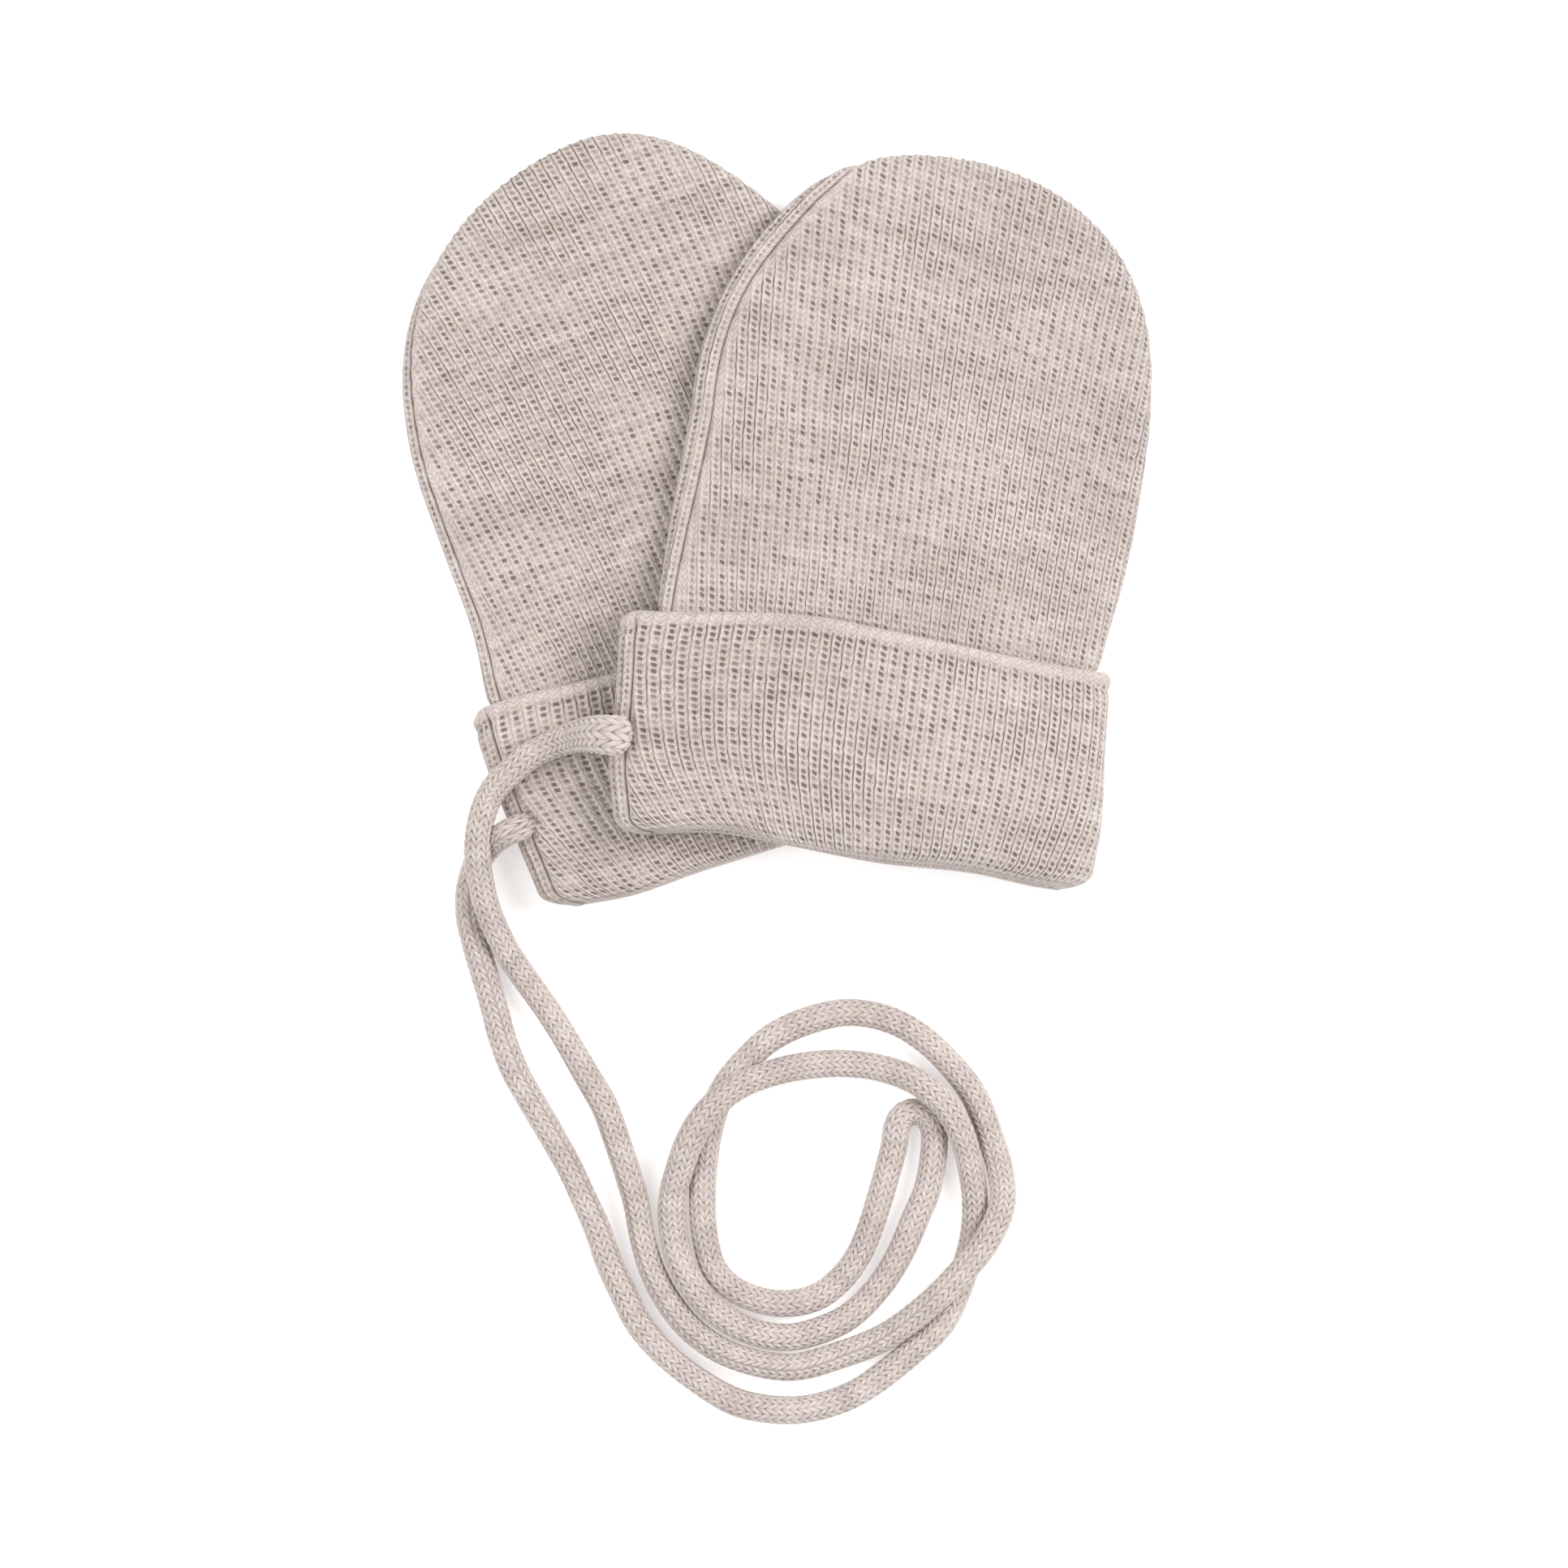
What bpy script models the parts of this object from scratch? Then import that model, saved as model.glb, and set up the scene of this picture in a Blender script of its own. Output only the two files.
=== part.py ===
"""Pair of thumbless baby mittens in rib knit wool, joined by a round knitted cord and laid flat.

Each mitten is a flattened tube: a front and a back panel, and a turned-up cuff of two panels.
The back panels roll over the left edge, so that side's seam shows on top. The other side's
seam lies underneath. One mitten lies partly on the other, and the cord makes a loose coil.

Sizes in this script are millimetres. Each mitten has its own frame: across runs to its right,
up runs from the fold at the cuff's foot to the round top, and height is up from the surface.
"""

import math
from collections import namedtuple
from dataclasses import dataclass
from functools import lru_cache

import bmesh
import bpy
import numpy as np

MM = 0.001

# Cloth
GAP = 0.3
SLIT_HALF = 0.2
BODY_WALL = 1.8
CUFF_WALL = 2.0
RIB_PITCH = 2.0
RIB_HEIGHT = 0.3
RIB_FADE = 2.5

# Levels count outward from the plane halfway between a mitten's front and back
BODY_OUT = SLIT_HALF + BODY_WALL
CUFF_IN = BODY_OUT + GAP
CUFF_OUT = CUFF_IN + CUFF_WALL
FOLD_RADIUS = (CUFF_OUT - SLIT_HALF) / 2

# Places along a mitten
CUFF_HEIGHT = 34.0
CUFF_HEM = 3.0
CUFF_EDGE_FLAT = 0.2
CUFF_EDGE_ROUND = 0.3
CUFF_SEAM_TURN = math.radians(83)
CUFF_SEAM_SHARE = 0.94
BODY_FOOT = 5.0
SETTLE = 15.0

# How the upper mitten comes down off the lower one
DRAPE_REACH = 26.0
DRAPE_GAP = 0.5
DRAPE_CELL = 1.5
DRAPE_X = (-40.0, 75.0)
DRAPE_Y = (-70.0, 75.0)

# Mesh steps
RIM_STEP = 8.0
RIM_RINGS = 5
SETTLE_STEP = 4.5
COMB_INSET = 3.0
COMB_MARGIN = 0.4
COMB_CLEAR = 0.15
SEAM_MARGIN = 1.2
SHORTEST_STEP = 1.0
CUFF_COLUMNS = 14
CUFF_RIM_COLUMNS = 7
CUFF_RIM_RIBS = 12

CORD_DIAMETER = 4.2
CORD_STEP = 10.5
CORD_SHORTEST_STEP = 2.6
CORD_BEND_STEP = 0.55
FLATTEST_BEND = 0.01

RIB_COLOUR = (0.60, 0.51, 0.46)
CORD_COLOUR = (0.62, 0.53, 0.48)
ROUGHNESS = 0.95

Side = namedtuple("Side", "up middle half")
Edge = namedtuple("Edge", "across front back top")
Roll = namedtuple("Roll", "share roll")
Bend = namedtuple("Bend", "x y z")


@dataclass(eq=False)
class Mitten:
    """Shape and place of one mitten.

    foot is where the middle of the cuff's fold lies, lean is clockwise in degrees, and drift
    is how the round top wanders sideways. sides are the body's half widths up to the widest
    place. cuff_edges say how far the cuff's folds at the front and back and its top stray from
    straight. seam says how far round the rim the side seam lies, from the left foot over the
    top to the right foot: 0 is the outermost line, more is on top and less is underneath.
    """

    name: str
    foot: tuple
    lean: float
    length: float
    dome_power: float
    drift: tuple
    sides: list
    cuff_sides: list
    cuff_edges: list
    seam: list
    row_step: float
    column_step: float
    lies_on: object = None


LEFT = Mitten(
    name="left",
    foot=(-1.8, -50.4),
    lean=-16.0,
    length=115.2,
    dome_power=1.87,
    drift=(-7.0, -10.0),
    sides=[
        Side(5.0, 0.0, 35.0),
        Side(24.0, 0.0, 36.6),
        Side(33.0, 0.0, 36.8),
        Side(44.0, 0.0, 36.2),
        Side(57.0, 0.0, 37.1),
        Side(71.0, 0.0, 37.9),
    ],
    cuff_sides=[
        Side(0.0, 0.0, 37.4),
        Side(10.0, 0.0, 38.3),
        Side(24.0, 0.0, 39.8),
        Side(34.0, 0.0, 40.0),
    ],
    cuff_edges=[
        Edge(-38.0, -0.9, -1.4, -1.6),
        Edge(-31.0, -1.9, -2.4, -1.4),
        Edge(-24.0, -2.8, -3.1, -1.8),
        Edge(-12.0, -2.1, -2.5, -2.2),
        Edge(0.0, -1.9, -2.2, -2.3),
        Edge(38.0, -1.0, -1.4, -2.0),
    ],
    seam=[
        Roll(0.0, 4.3),
        Roll(0.12, 2.7),
        Roll(0.32, 1.8),
        Roll(0.40, 0.0),
        Roll(0.52, -3.5),
        Roll(1.0, -5.0),
    ],
    row_step=11.0,
    column_step=9.0,
)

RIGHT = Mitten(
    name="right",
    foot=(11.5, -52.3),
    lean=6.1,
    length=111.5,
    dome_power=2.2,
    drift=(5.5, 6.1),
    sides=[
        Side(5.0, 0.2, 35.0),
        Side(28.0, 0.4, 34.9),
        Side(35.5, 1.1, 35.5),
        Side(49.0, 2.4, 36.5),
        Side(61.0, 3.4, 36.5),
        Side(69.0, 3.8, 36.4),
    ],
    cuff_sides=[
        Side(0.0, 0.4, 38.2),
        Side(11.0, -0.2, 39.4),
        Side(20.0, -0.5, 39.1),
        Side(34.0, -1.0, 39.2),
    ],
    cuff_edges=[
        Edge(-38.0, -1.2, -1.6, 0.2),
        Edge(-20.0, 1.1, 0.2, 1.7),
        Edge(-10.0, 0.0, -0.6, 2.2),
        Edge(4.0, -0.9, -1.8, 1.0),
        Edge(20.0, -1.1, -1.9, -0.6),
        Edge(33.0, -2.3, -3.1, -1.6),
        Edge(38.0, -2.2, -2.8, -1.8),
    ],
    seam=[
        Roll(0.0, 4.7),
        Roll(0.20, 4.5),
        Roll(0.33, 6.3),
        Roll(0.42, 0.0),
        Roll(0.52, -3.5),
        Roll(1.0, -5.0),
    ],
    row_step=5.5,
    column_step=4.5,
    lies_on=LEFT,
)


# The cord's route, from the right cuff's side seam to the left one's. It goes down over the
# left cuff, round the coil's outer turn, inside to the fold where the cord is doubled, and back.

LYING = 2.15
CORD_ROUTE = [
    Bend(-24.3, -34.6, 18.5),
    Bend(-25.2, -34.4, 19.4),
    Bend(-26.9, -34.2, 19.7),
    Bend(-28.8, -34.1, 18.2),
    Bend(-30.9, -34.2, 15.3),
    Bend(-33.0, -34.7, 12.7),
    Bend(-35.1, -35.4, 11.6),
    Bend(-39.1, -37.2, 11.3),
    Bend(-42.6, -39.9, 11.1),
    Bend(-45.8, -43.4, 9.4),
    Bend(-47.5, -47.8, 9.3),
    Bend(-48.1, -52.9, 8.3),
    Bend(-47.5, -57.8, 6.9),
    Bend(-46.6, -61.7, 6.1),
    Bend(-44.9, -65.9, 4.8),
    Bend(-43.0, -69.5, 3.2),
    Bend(-40.8, -72.8, 2.3),
    Bend(-37.1, -78.0, LYING),
    Bend(-34.0, -82.9, LYING),
    Bend(-30.9, -88.3, LYING),
    Bend(-27.9, -93.5, LYING),
    Bend(-26.0, -98.7, LYING),
    Bend(-24.3, -103.9, LYING),
    Bend(-22.8, -109.1, LYING),
    Bend(-21.9, -114.3, LYING),
    Bend(-20.4, -119.5, LYING),
    Bend(-17.6, -124.9, LYING),
    Bend(-13.2, -130.0, LYING),
    Bend(-7.1, -133.6, LYING),
    Bend(2.0, -135.3, LYING),
    Bend(10.5, -133.1, 2.3),
    Bend(17.0, -130.4, 3.3),
    Bend(23.2, -125.8, 5.6),
    Bend(29.0, -120.1, 6.8),
    Bend(33.3, -114.7, 6.3),
    Bend(35.8, -108.8, 3.9),
    Bend(35.4, -103.6, 2.5),
    Bend(33.6, -97.8, LYING),
    Bend(31.3, -91.9, LYING),
    Bend(28.4, -87.9, LYING),
    Bend(23.7, -83.2, LYING),
    Bend(18.3, -79.9, LYING),
    Bend(11.1, -78.5, LYING),
    Bend(3.9, -80.1, LYING),
    Bend(-1.5, -82.8, LYING),
    Bend(-5.1, -86.1, LYING),
    Bend(-8.4, -90.1, LYING),
    Bend(-10.5, -94.8, LYING),
    Bend(-11.8, -101.0, LYING),
    Bend(-12.2, -108.8, LYING),
    Bend(-11.8, -114.3, LYING),
    Bend(-10.5, -119.2, LYING),
    Bend(-7.9, -122.3, LYING),
    Bend(-4.0, -124.3, LYING),
    Bend(0.8, -125.1, LYING),
    Bend(6.0, -124.1, LYING),
    Bend(10.2, -120.9, LYING),
    Bend(12.8, -117.3, LYING),
    Bend(14.5, -113.4, LYING),
    Bend(16.0, -108.8, LYING),
    Bend(17.5, -103.6, LYING),
    Bend(18.5, -99.7, LYING),
    Bend(18.8, -97.2, LYING),
    Bend(19.8, -95.2, LYING),
    Bend(21.8, -94.4, LYING),
    Bend(23.7, -95.2, LYING),
    Bend(24.8, -97.2, LYING),
    Bend(24.9, -99.4, LYING),
    Bend(24.6, -102.6, LYING),
    Bend(23.7, -107.0, LYING),
    Bend(21.9, -111.4, LYING),
    Bend(19.3, -117.3, LYING),
    Bend(16.3, -122.1, LYING),
    Bend(11.5, -127.0, LYING),
    Bend(6.8, -129.3, LYING),
    Bend(1.6, -130.5, LYING),
    Bend(-4.6, -129.5, 2.2),
    Bend(-10.1, -126.4, 2.6),
    Bend(-14.0, -121.9, 3.3),
    Bend(-16.1, -117.3, 3.2),
    Bend(-17.0, -112.7, 2.6),
    Bend(-17.0, -108.2, 3.2),
    Bend(-15.8, -103.3, 4.9),
    Bend(-14.3, -99.1, 6.2),
    Bend(-11.5, -94.5, 6.6),
    Bend(-7.1, -90.7, 6.5),
    Bend(-1.5, -88.3, 5.0),
    Bend(3.9, -87.1, 3.2),
    Bend(10.5, -86.7, 2.4),
    Bend(17.0, -87.6, 3.2),
    Bend(22.4, -89.8, 4.8),
    Bend(26.8, -93.6, 5.2),
    Bend(29.4, -98.4, 4.6),
    Bend(30.7, -103.6, 3.0),
    Bend(31.4, -108.8, LYING),
    Bend(31.1, -114.7, LYING),
    Bend(28.8, -122.5, LYING),
    Bend(26.1, -128.3, LYING),
    Bend(21.0, -133.1, LYING),
    Bend(13.1, -139.0, LYING),
    Bend(7.2, -141.4, LYING),
    Bend(1.4, -142.2, LYING),
    Bend(-6.5, -141.0, LYING),
    Bend(-12.8, -137.5, LYING),
    Bend(-18.2, -133.2, LYING),
    Bend(-22.2, -128.6, LYING),
    Bend(-24.9, -123.4, LYING),
    Bend(-27.1, -118.7, LYING),
    Bend(-28.9, -113.5, LYING),
    Bend(-31.2, -108.3, LYING),
    Bend(-33.5, -103.3, LYING),
    Bend(-36.4, -98.1, LYING),
    Bend(-39.5, -92.8, LYING),
    Bend(-42.2, -88.0, LYING),
    Bend(-44.2, -82.8, LYING),
    Bend(-45.6, -77.6, LYING),
    Bend(-47.1, -72.4, LYING),
    Bend(-48.4, -67.9, LYING),
    Bend(-49.4, -63.3, LYING),
    Bend(-49.4, -58.8, LYING),
    Bend(-48.2, -54.5, 2.4),
    Bend(-46.7, -52.4, 3.7),
    Bend(-45.3, -51.1, 6.3),
    Bend(-44.0, -50.2, 8.7),
    Bend(-42.6, -49.4, 10.1),
    Bend(-41.4, -48.9, 10.0),
    Bend(-40.8, -48.6, 9.1),
]


def flow(rows, column, at):
    """Smooth curve through one column of a table, level at both ends."""
    places = np.array([row[0] for row in rows])
    values = np.array([getattr(row, column) for row in rows])
    slopes = np.gradient(values, places)
    slopes[0] = slopes[-1] = 0.0
    at = np.clip(at, places[0], places[-1])
    i = np.clip(np.searchsorted(places, at, side="right") - 1, 0, len(places) - 2)
    width = places[i + 1] - places[i]
    t = (at - places[i]) / width
    start = (1 + 2 * t) * (1 - t) ** 2 * values[i] + t * (1 - t) ** 2 * width * slopes[i]
    end = t * t * (3 - 2 * t) * values[i + 1] + t * t * (t - 1) * width * slopes[i + 1]
    return start + end


def ease(t):
    """Soft step from 0 to 1."""
    t = np.clip(t, 0.0, 1.0)
    return t * t * (3 - 2 * t)


# Body outline and the straight ribs


@lru_cache
def body_outline(m):
    """Closely spaced points round the body, left foot to right foot, and their distances."""
    wide = m.sides[-1]
    up = np.linspace(BODY_FOOT, wide.up, 90)
    middle, half = flow(m.sides, "middle", up), flow(m.sides, "half", up)
    turn = np.linspace(0.0, math.pi, 321)
    power = 2.0 / m.dome_power
    rise = np.abs(np.sin(turn)) ** power
    reach = -np.sign(np.cos(turn)) * np.abs(np.cos(turn)) ** power
    drift = m.drift[0] * rise**2 - m.drift[1] * rise**4
    dome_across = wide.middle + drift + wide.half * reach
    dome_up = wide.up + (m.length - wide.up) * rise
    across = np.concatenate([(middle - half)[:-1], dome_across, (middle + half)[-2::-1]])
    ups = np.concatenate([up[:-1], dome_up, up[-2::-1]])
    run = np.concatenate([[0.0], np.cumsum(np.hypot(np.diff(across), np.diff(ups)))])
    along = np.linspace(0.0, run[-1], 721)
    return along, np.interp(along, run, across), np.interp(along, run, ups)


def outline_at(m, along):
    """Point and outward direction of the body's outline at a distance along it."""
    run, across, up = body_outline(m)
    step = run[1]
    slope_across, slope_up = np.gradient(across, step), np.gradient(up, step)
    size = np.hypot(slope_across, slope_up)
    out_across, out_up = -slope_up / size, slope_across / size
    return [np.interp(along, run, part) for part in (across, up, out_across, out_up)]


def rib_spread(m, up):
    """Middle line of the ribs and how far they are drawn together, at a place up the mitten."""
    wide = m.sides[-1]
    below = np.minimum(up, wide.up)
    return flow(m.sides, "middle", below), flow(m.sides, "half", below) / wide.half


def cuff_top(m, across):
    """How far up the mitten its cuff's top edge lies."""
    return CUFF_HEIGHT + flow(m.cuff_edges, "top", across)


def paced(start, end, step_at):
    """Places from start to end, with the step that step_at asks for at each place."""
    fine = np.linspace(start, end, 500)
    count = np.concatenate([[0.0], np.cumsum(np.diff(fine) / step_at((fine[1:] + fine[:-1]) / 2))])
    return np.interp(np.linspace(0.0, count[-1], math.ceil(count[-1]) + 1), count, fine)


def settle_step(m, up, step):
    """Step at a place up the mitten: short where the body comes down off the cuff."""
    stray = np.abs([edge.top for edge in m.cuff_edges]).max()
    settles = (up > CUFF_HEIGHT - stray) & (up < CUFF_HEIGHT + SETTLE + stray)
    return np.where(settles, min(SETTLE_STEP, step), step)


def rows_up(m):
    """Rows of points up the body."""
    return paced(BODY_FOOT, m.length, lambda up: settle_step(m, up, m.row_step))


def rim_places(m):
    """Places of the points round the body's rim."""
    run, _, up = body_outline(m)
    return paced(0.0, run[-1], lambda along: settle_step(m, np.interp(along, run, up), RIM_STEP))


# Points of the cloth


def body_middle(m, across, up):
    """Height of the plane between front and back: raised where the cuff lies under it."""
    off_cuff = ease((up - cuff_top(m, across) - GAP) / SETTLE)
    return CUFF_OUT + (BODY_OUT - CUFF_OUT) * off_cuff


def rim_inset(roll, level, out):
    """Distance in from the outline and height off the middle plane, at a roll round a rim."""
    quarter = out * math.pi / 2
    turn = np.clip(roll / out, -math.pi / 2, math.pi / 2)
    beyond = np.maximum(np.abs(roll) - quarter, 0.0)
    return out - level * np.cos(turn) + beyond, level * np.sin(turn)


def body_point(m, along, roll, level):
    """Place of a body wall's point, given where it is along and round the rim."""
    across, up, out_across, out_up = outline_at(m, along)
    inset, height = rim_inset(roll, level, BODY_OUT)
    across, up = across - inset * out_across, up - inset * out_up
    return across, up, body_middle(m, across, up) + height


def cuff_point(m, share, turn, level, up):
    """Place of a cuff wall's point: share runs from rim to rim, turn is the angle round a rim."""
    middle, half = flow(m.cuff_sides, "middle", up), flow(m.cuff_sides, "half", up)
    rim = np.sign(share) * level * np.cos(turn)
    across = middle + share * (half - CUFF_OUT) + rim
    front = (1 + np.sin(turn)) / 2
    fold = flow(m.cuff_edges, "front", across) * front
    fold = fold + flow(m.cuff_edges, "back", across) * (1 - front)
    part = up / CUFF_HEIGHT
    stray = fold * (1 - part) + flow(m.cuff_edges, "top", across) * part
    height = CUFF_OUT + level * np.sin(turn)
    return np.broadcast_arrays(across, up + stray, height)


def turned(m, across, up):
    """The mitten's own frame laid on the surface."""
    lean = math.radians(m.lean)
    x = m.foot[0] + across * math.cos(lean) + up * math.sin(lean)
    y = m.foot[1] - across * math.sin(lean) + up * math.cos(lean)
    return x, y


def top_points(m):
    """Points spread over a mitten's upper side, on the ribs' crests."""
    total, wide = body_outline(m)[0][-1], m.sides[-1].half
    along, roll = np.meshgrid(np.arange(0.0, total, DRAPE_CELL), np.arange(0.0, wide, DRAPE_CELL))
    body = body_point(m, along.ravel(), roll.ravel(), BODY_OUT + RIB_HEIGHT)
    ups = np.arange(0.0, CUFF_HEIGHT + DRAPE_CELL, DRAPE_CELL)
    share, up = np.meshgrid(np.arange(-1.0, 1.0, DRAPE_CELL / wide), ups)
    flat = cuff_point(m, share.ravel(), math.pi / 2, CUFF_OUT + RIB_HEIGHT, up.ravel())
    side, turn, up = np.meshgrid([-1.0, 1.0], np.linspace(0.0, math.pi / 2, 6), ups)
    rim = cuff_point(m, side.ravel(), turn.ravel(), CUFF_OUT + RIB_HEIGHT, up.ravel())
    parts = [(*turned(m, across, up), height) for across, up, height in (body, flat, rim)]
    return [np.concatenate(column) for column in zip(*parts)]


def drape(m):
    """Height that the upper mitten is carried at, as a function of place."""
    if m.lies_on is None:
        return lambda x, y: np.zeros_like(x)
    px, py, height = top_points(m.lies_on)
    grid_x = np.arange(*DRAPE_X, DRAPE_CELL)
    grid_y = np.arange(*DRAPE_Y, DRAPE_CELL)
    field = np.zeros((len(grid_y), len(grid_x)))
    for row, y in enumerate(grid_y):
        near = np.abs(py - y) < DRAPE_REACH
        away = (grid_x[:, None] - px[near]) ** 2 + (y - py[near]) ** 2
        share = np.maximum(1 - away / DRAPE_REACH**2, 0.0) ** 2
        if near.any():
            field[row] = ((height[near] + DRAPE_GAP) * share).max(axis=1)

    def lift(x, y):
        i = np.clip((x - grid_x[0]) / DRAPE_CELL, 0, len(grid_x) - 1.001)
        j = np.clip((y - grid_y[0]) / DRAPE_CELL, 0, len(grid_y) - 1.001)
        i0, j0 = i.astype(int), j.astype(int)
        a, b = i - i0, j - j0
        low = field[j0, i0] * (1 - a) + field[j0, i0 + 1] * a
        high = field[j0 + 1, i0] * (1 - a) + field[j0 + 1, i0 + 1] * a
        return low * (1 - b) + high * b

    return lift


# Making solids from rows of points


class Cloth:
    """A closed wall of cloth, built from lines of points that are stitched to each other."""

    def __init__(self, mitten, lift):
        self.mitten = mitten
        self.lift = lift
        self.mesh = bmesh.new()

    def line(self, across, up, height):
        """Adds a line of points, given in the mitten's frame."""
        across, up, height = np.broadcast_arrays(across, up, height)
        x, y = turned(self.mitten, across, up)
        z = height + self.lift(x, y)
        return [self.mesh.verts.new((a * MM, b * MM, c * MM)) for a, b, c in zip(x, y, z)]

    def stitch(self, one, one_keys, two, two_keys):
        """Joins two lines by a strip of faces. Points with equal keys lie across from each other."""
        i = j = 0
        while i < len(one) - 1 or j < len(two) - 1:
            next_one = one_keys[i + 1] if i < len(one) - 1 else math.inf
            next_two = two_keys[j + 1] if j < len(two) - 1 else math.inf
            if abs(next_one - next_two) < 1e-6:
                self.mesh.faces.new((one[i], two[j], two[j + 1], one[i + 1]))
                i, j = i + 1, j + 1
            elif next_one < next_two:
                self.mesh.faces.new((one[i], two[j], one[i + 1]))
                i += 1
            else:
                self.mesh.faces.new((one[i], two[j], two[j + 1]))
                j += 1

    def finish(self, name, material):
        """Makes the object, with its faces pointing out."""
        bmesh.ops.recalc_face_normals(self.mesh, faces=self.mesh.faces)
        mesh = bpy.data.meshes.new(name)
        self.mesh.to_mesh(mesh)
        self.mesh.free()
        mesh.shade_smooth()
        mesh.set_sharp_from_angle(angle=math.radians(50))
        mesh.materials.append(material)
        COLLECTION.objects.link(bpy.data.objects.new(name, mesh))


def comb_columns(m, inset, pitch, ribbed):
    """Straight columns that fill the panel inside an inset line, left to right.

    Each is its place across at the widest height, and where along the outline its top comes.
    """
    run, across, up = body_outline(m)
    _, _, out_across, out_up = outline_at(m, run)
    across, up = across - inset * out_across, up - inset * out_up
    middle, spread = rib_spread(m, up)
    place = (across - middle) / spread
    wide = m.sides[-1]
    side = up < wide.up
    left = -place[side & (place < 0)].max() - COMB_CLEAR
    right = place[side & (place > 0)].min() - COMB_CLEAR
    count = round((left + right) / pitch)
    count += count % 2 if ribbed else 0
    places = np.linspace(-left, right, count + 1)
    dome = np.flatnonzero(~side)
    tops = np.interp(places, place[dome], up[dome])
    keys = np.interp(places, place[dome], run[dome])
    return places, tops, keys


def body_skin(cloth, m, height, inset, rolls, pitch, ribs):
    """One side of a body panel's wall: columns inside, then rings out to the seam.

    height is its flat part's, off the middle plane. It returns the edge at the side seam and
    the edge at the foot, each with its keys.
    """
    run, _, outline_up = body_outline(m)
    places, tops, keys = comb_columns(m, inset(run), pitch, ribs > 0)
    rows = rows_up(m)
    columns, column_ups = [], []
    for number, (place, top) in enumerate(zip(places, tops)):
        ups = np.append(rows[rows < top - SHORTEST_STEP], top)
        middle, spread = rib_spread(m, ups)
        across = middle + place * spread
        heights = body_middle(m, across, ups) + height
        if ribs and number % 2:
            off_cuff = (ups - cuff_top(m, across)) / RIB_FADE
            fade = ease((top - ups) / RIB_FADE) * ease(off_cuff)
            heights = heights + ribs * fade
        columns.append(cloth.line(across, ups, heights))
        column_ups.append(ups)
    for one, one_up, two, two_up in zip(columns, column_ups, columns[1:], column_ups[1:]):
        cloth.stitch(one, one_up, two, two_up)
    top_at = int(np.argmax(outline_up))
    left_keys = np.interp(column_ups[0][:-1], outline_up[:top_at], run[:top_at])
    right_keys = np.interp(-column_ups[-1][:-1], -outline_up[top_at:], run[top_at:])
    border = columns[0][:-1] + [column[-1] for column in columns] + columns[-1][-2::-1]
    border_keys = np.concatenate([left_keys, keys, right_keys[::-1]])
    along = rim_places(m)
    rings = [cloth.line(*body_point(m, along, roll(along), abs(height))) for roll in rolls]
    cloth.stitch(border, border_keys, rings[0], along)
    for one, two in zip(rings, rings[1:]):
        cloth.stitch(one, along, two, along)
    foot = [ring[0] for ring in reversed(rings)] + [column[0] for column in columns]
    foot += [ring[-1] for ring in rings]
    out = 2 * m.sides[-1].half
    ring_keys = [out + number for number in range(len(rings))]
    foot_keys = [-key for key in reversed(ring_keys)] + list(places) + ring_keys
    return (rings[-1], along), (foot, foot_keys)


def body_panel(m, lift, face, name, material):
    """Front (face 1) or back (face -1) of a mitten's body."""
    total = body_outline(m)[0][-1]
    quarter = BODY_OUT * math.pi / 2

    def seam(along):
        return flow(m.seam, "roll", along / total)

    def inset(along):
        return np.maximum(COMB_INSET, BODY_OUT + face * seam(along) - quarter + SEAM_MARGIN)

    def inset_inside(along):
        return np.maximum(COMB_INSET, BODY_OUT + np.abs(seam(along)) - quarter + SEAM_MARGIN)

    def rolls(inset):
        def ring(part):
            def roll(along):
                start = face * (quarter + inset(along) - COMB_MARGIN - BODY_OUT)
                end = seam(along) + face * GAP / 2
                return start + (end - start) * part

            return roll

        return [ring(number / RIM_RINGS) for number in range(RIM_RINGS + 1)]

    cloth = Cloth(m, lift)
    pitch, ribs = (RIB_PITCH / 2, RIB_HEIGHT) if face > 0 else (m.column_step, 0.0)
    outer = body_skin(cloth, m, face * BODY_OUT, inset, rolls(inset), pitch, ribs)
    inside = rolls(inset_inside)
    inner = body_skin(cloth, m, face * SLIT_HALF, inset_inside, inside, m.column_step, 0.0)
    for (outer_edge, outer_keys), (inner_edge, inner_keys) in zip(outer, inner):
        cloth.stitch(outer_edge, outer_keys, inner_edge, inner_keys)
    cloth.finish(name, material)


# Cuff


def cuff_chains(m):
    """Level and height of the cuff wall's outer and inner side, from its top edge to its hem."""
    step = m.row_step
    rows = np.arange(CUFF_HEIGHT - step, FOLD_RADIUS + step / 2, -step)
    middle = (CUFF_IN + CUFF_OUT) / 2
    flat, bevel = CUFF_EDGE_FLAT, CUFF_EDGE_ROUND
    outer = [(middle + flat, CUFF_HEIGHT), (CUFF_OUT - bevel, CUFF_HEIGHT - bevel)]
    outer += [(CUFF_OUT, CUFF_HEIGHT - CUFF_WALL / 2)] + [(CUFF_OUT, row) for row in rows]
    fold_level = SLIT_HALF + FOLD_RADIUS
    for angle in np.radians([0, 45, 90, 180]):
        level = fold_level + FOLD_RADIUS * math.cos(angle)
        outer.append((level, FOLD_RADIUS - FOLD_RADIUS * math.sin(angle)))
    outer.append((SLIT_HALF, CUFF_HEM))
    inner = [(middle - flat, CUFF_HEIGHT), (CUFF_IN + bevel, CUFF_HEIGHT - bevel)]
    inner += [(CUFF_IN, CUFF_HEIGHT - CUFF_WALL / 2)] + [(CUFF_IN, row) for row in rows]
    inner += [(CUFF_IN, FOLD_RADIUS), ((CUFF_IN + BODY_OUT) / 2, FOLD_RADIUS - GAP / 2)]
    inner += [(BODY_OUT, FOLD_RADIUS), (BODY_OUT, CUFF_HEM)]
    return outer, inner


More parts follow.
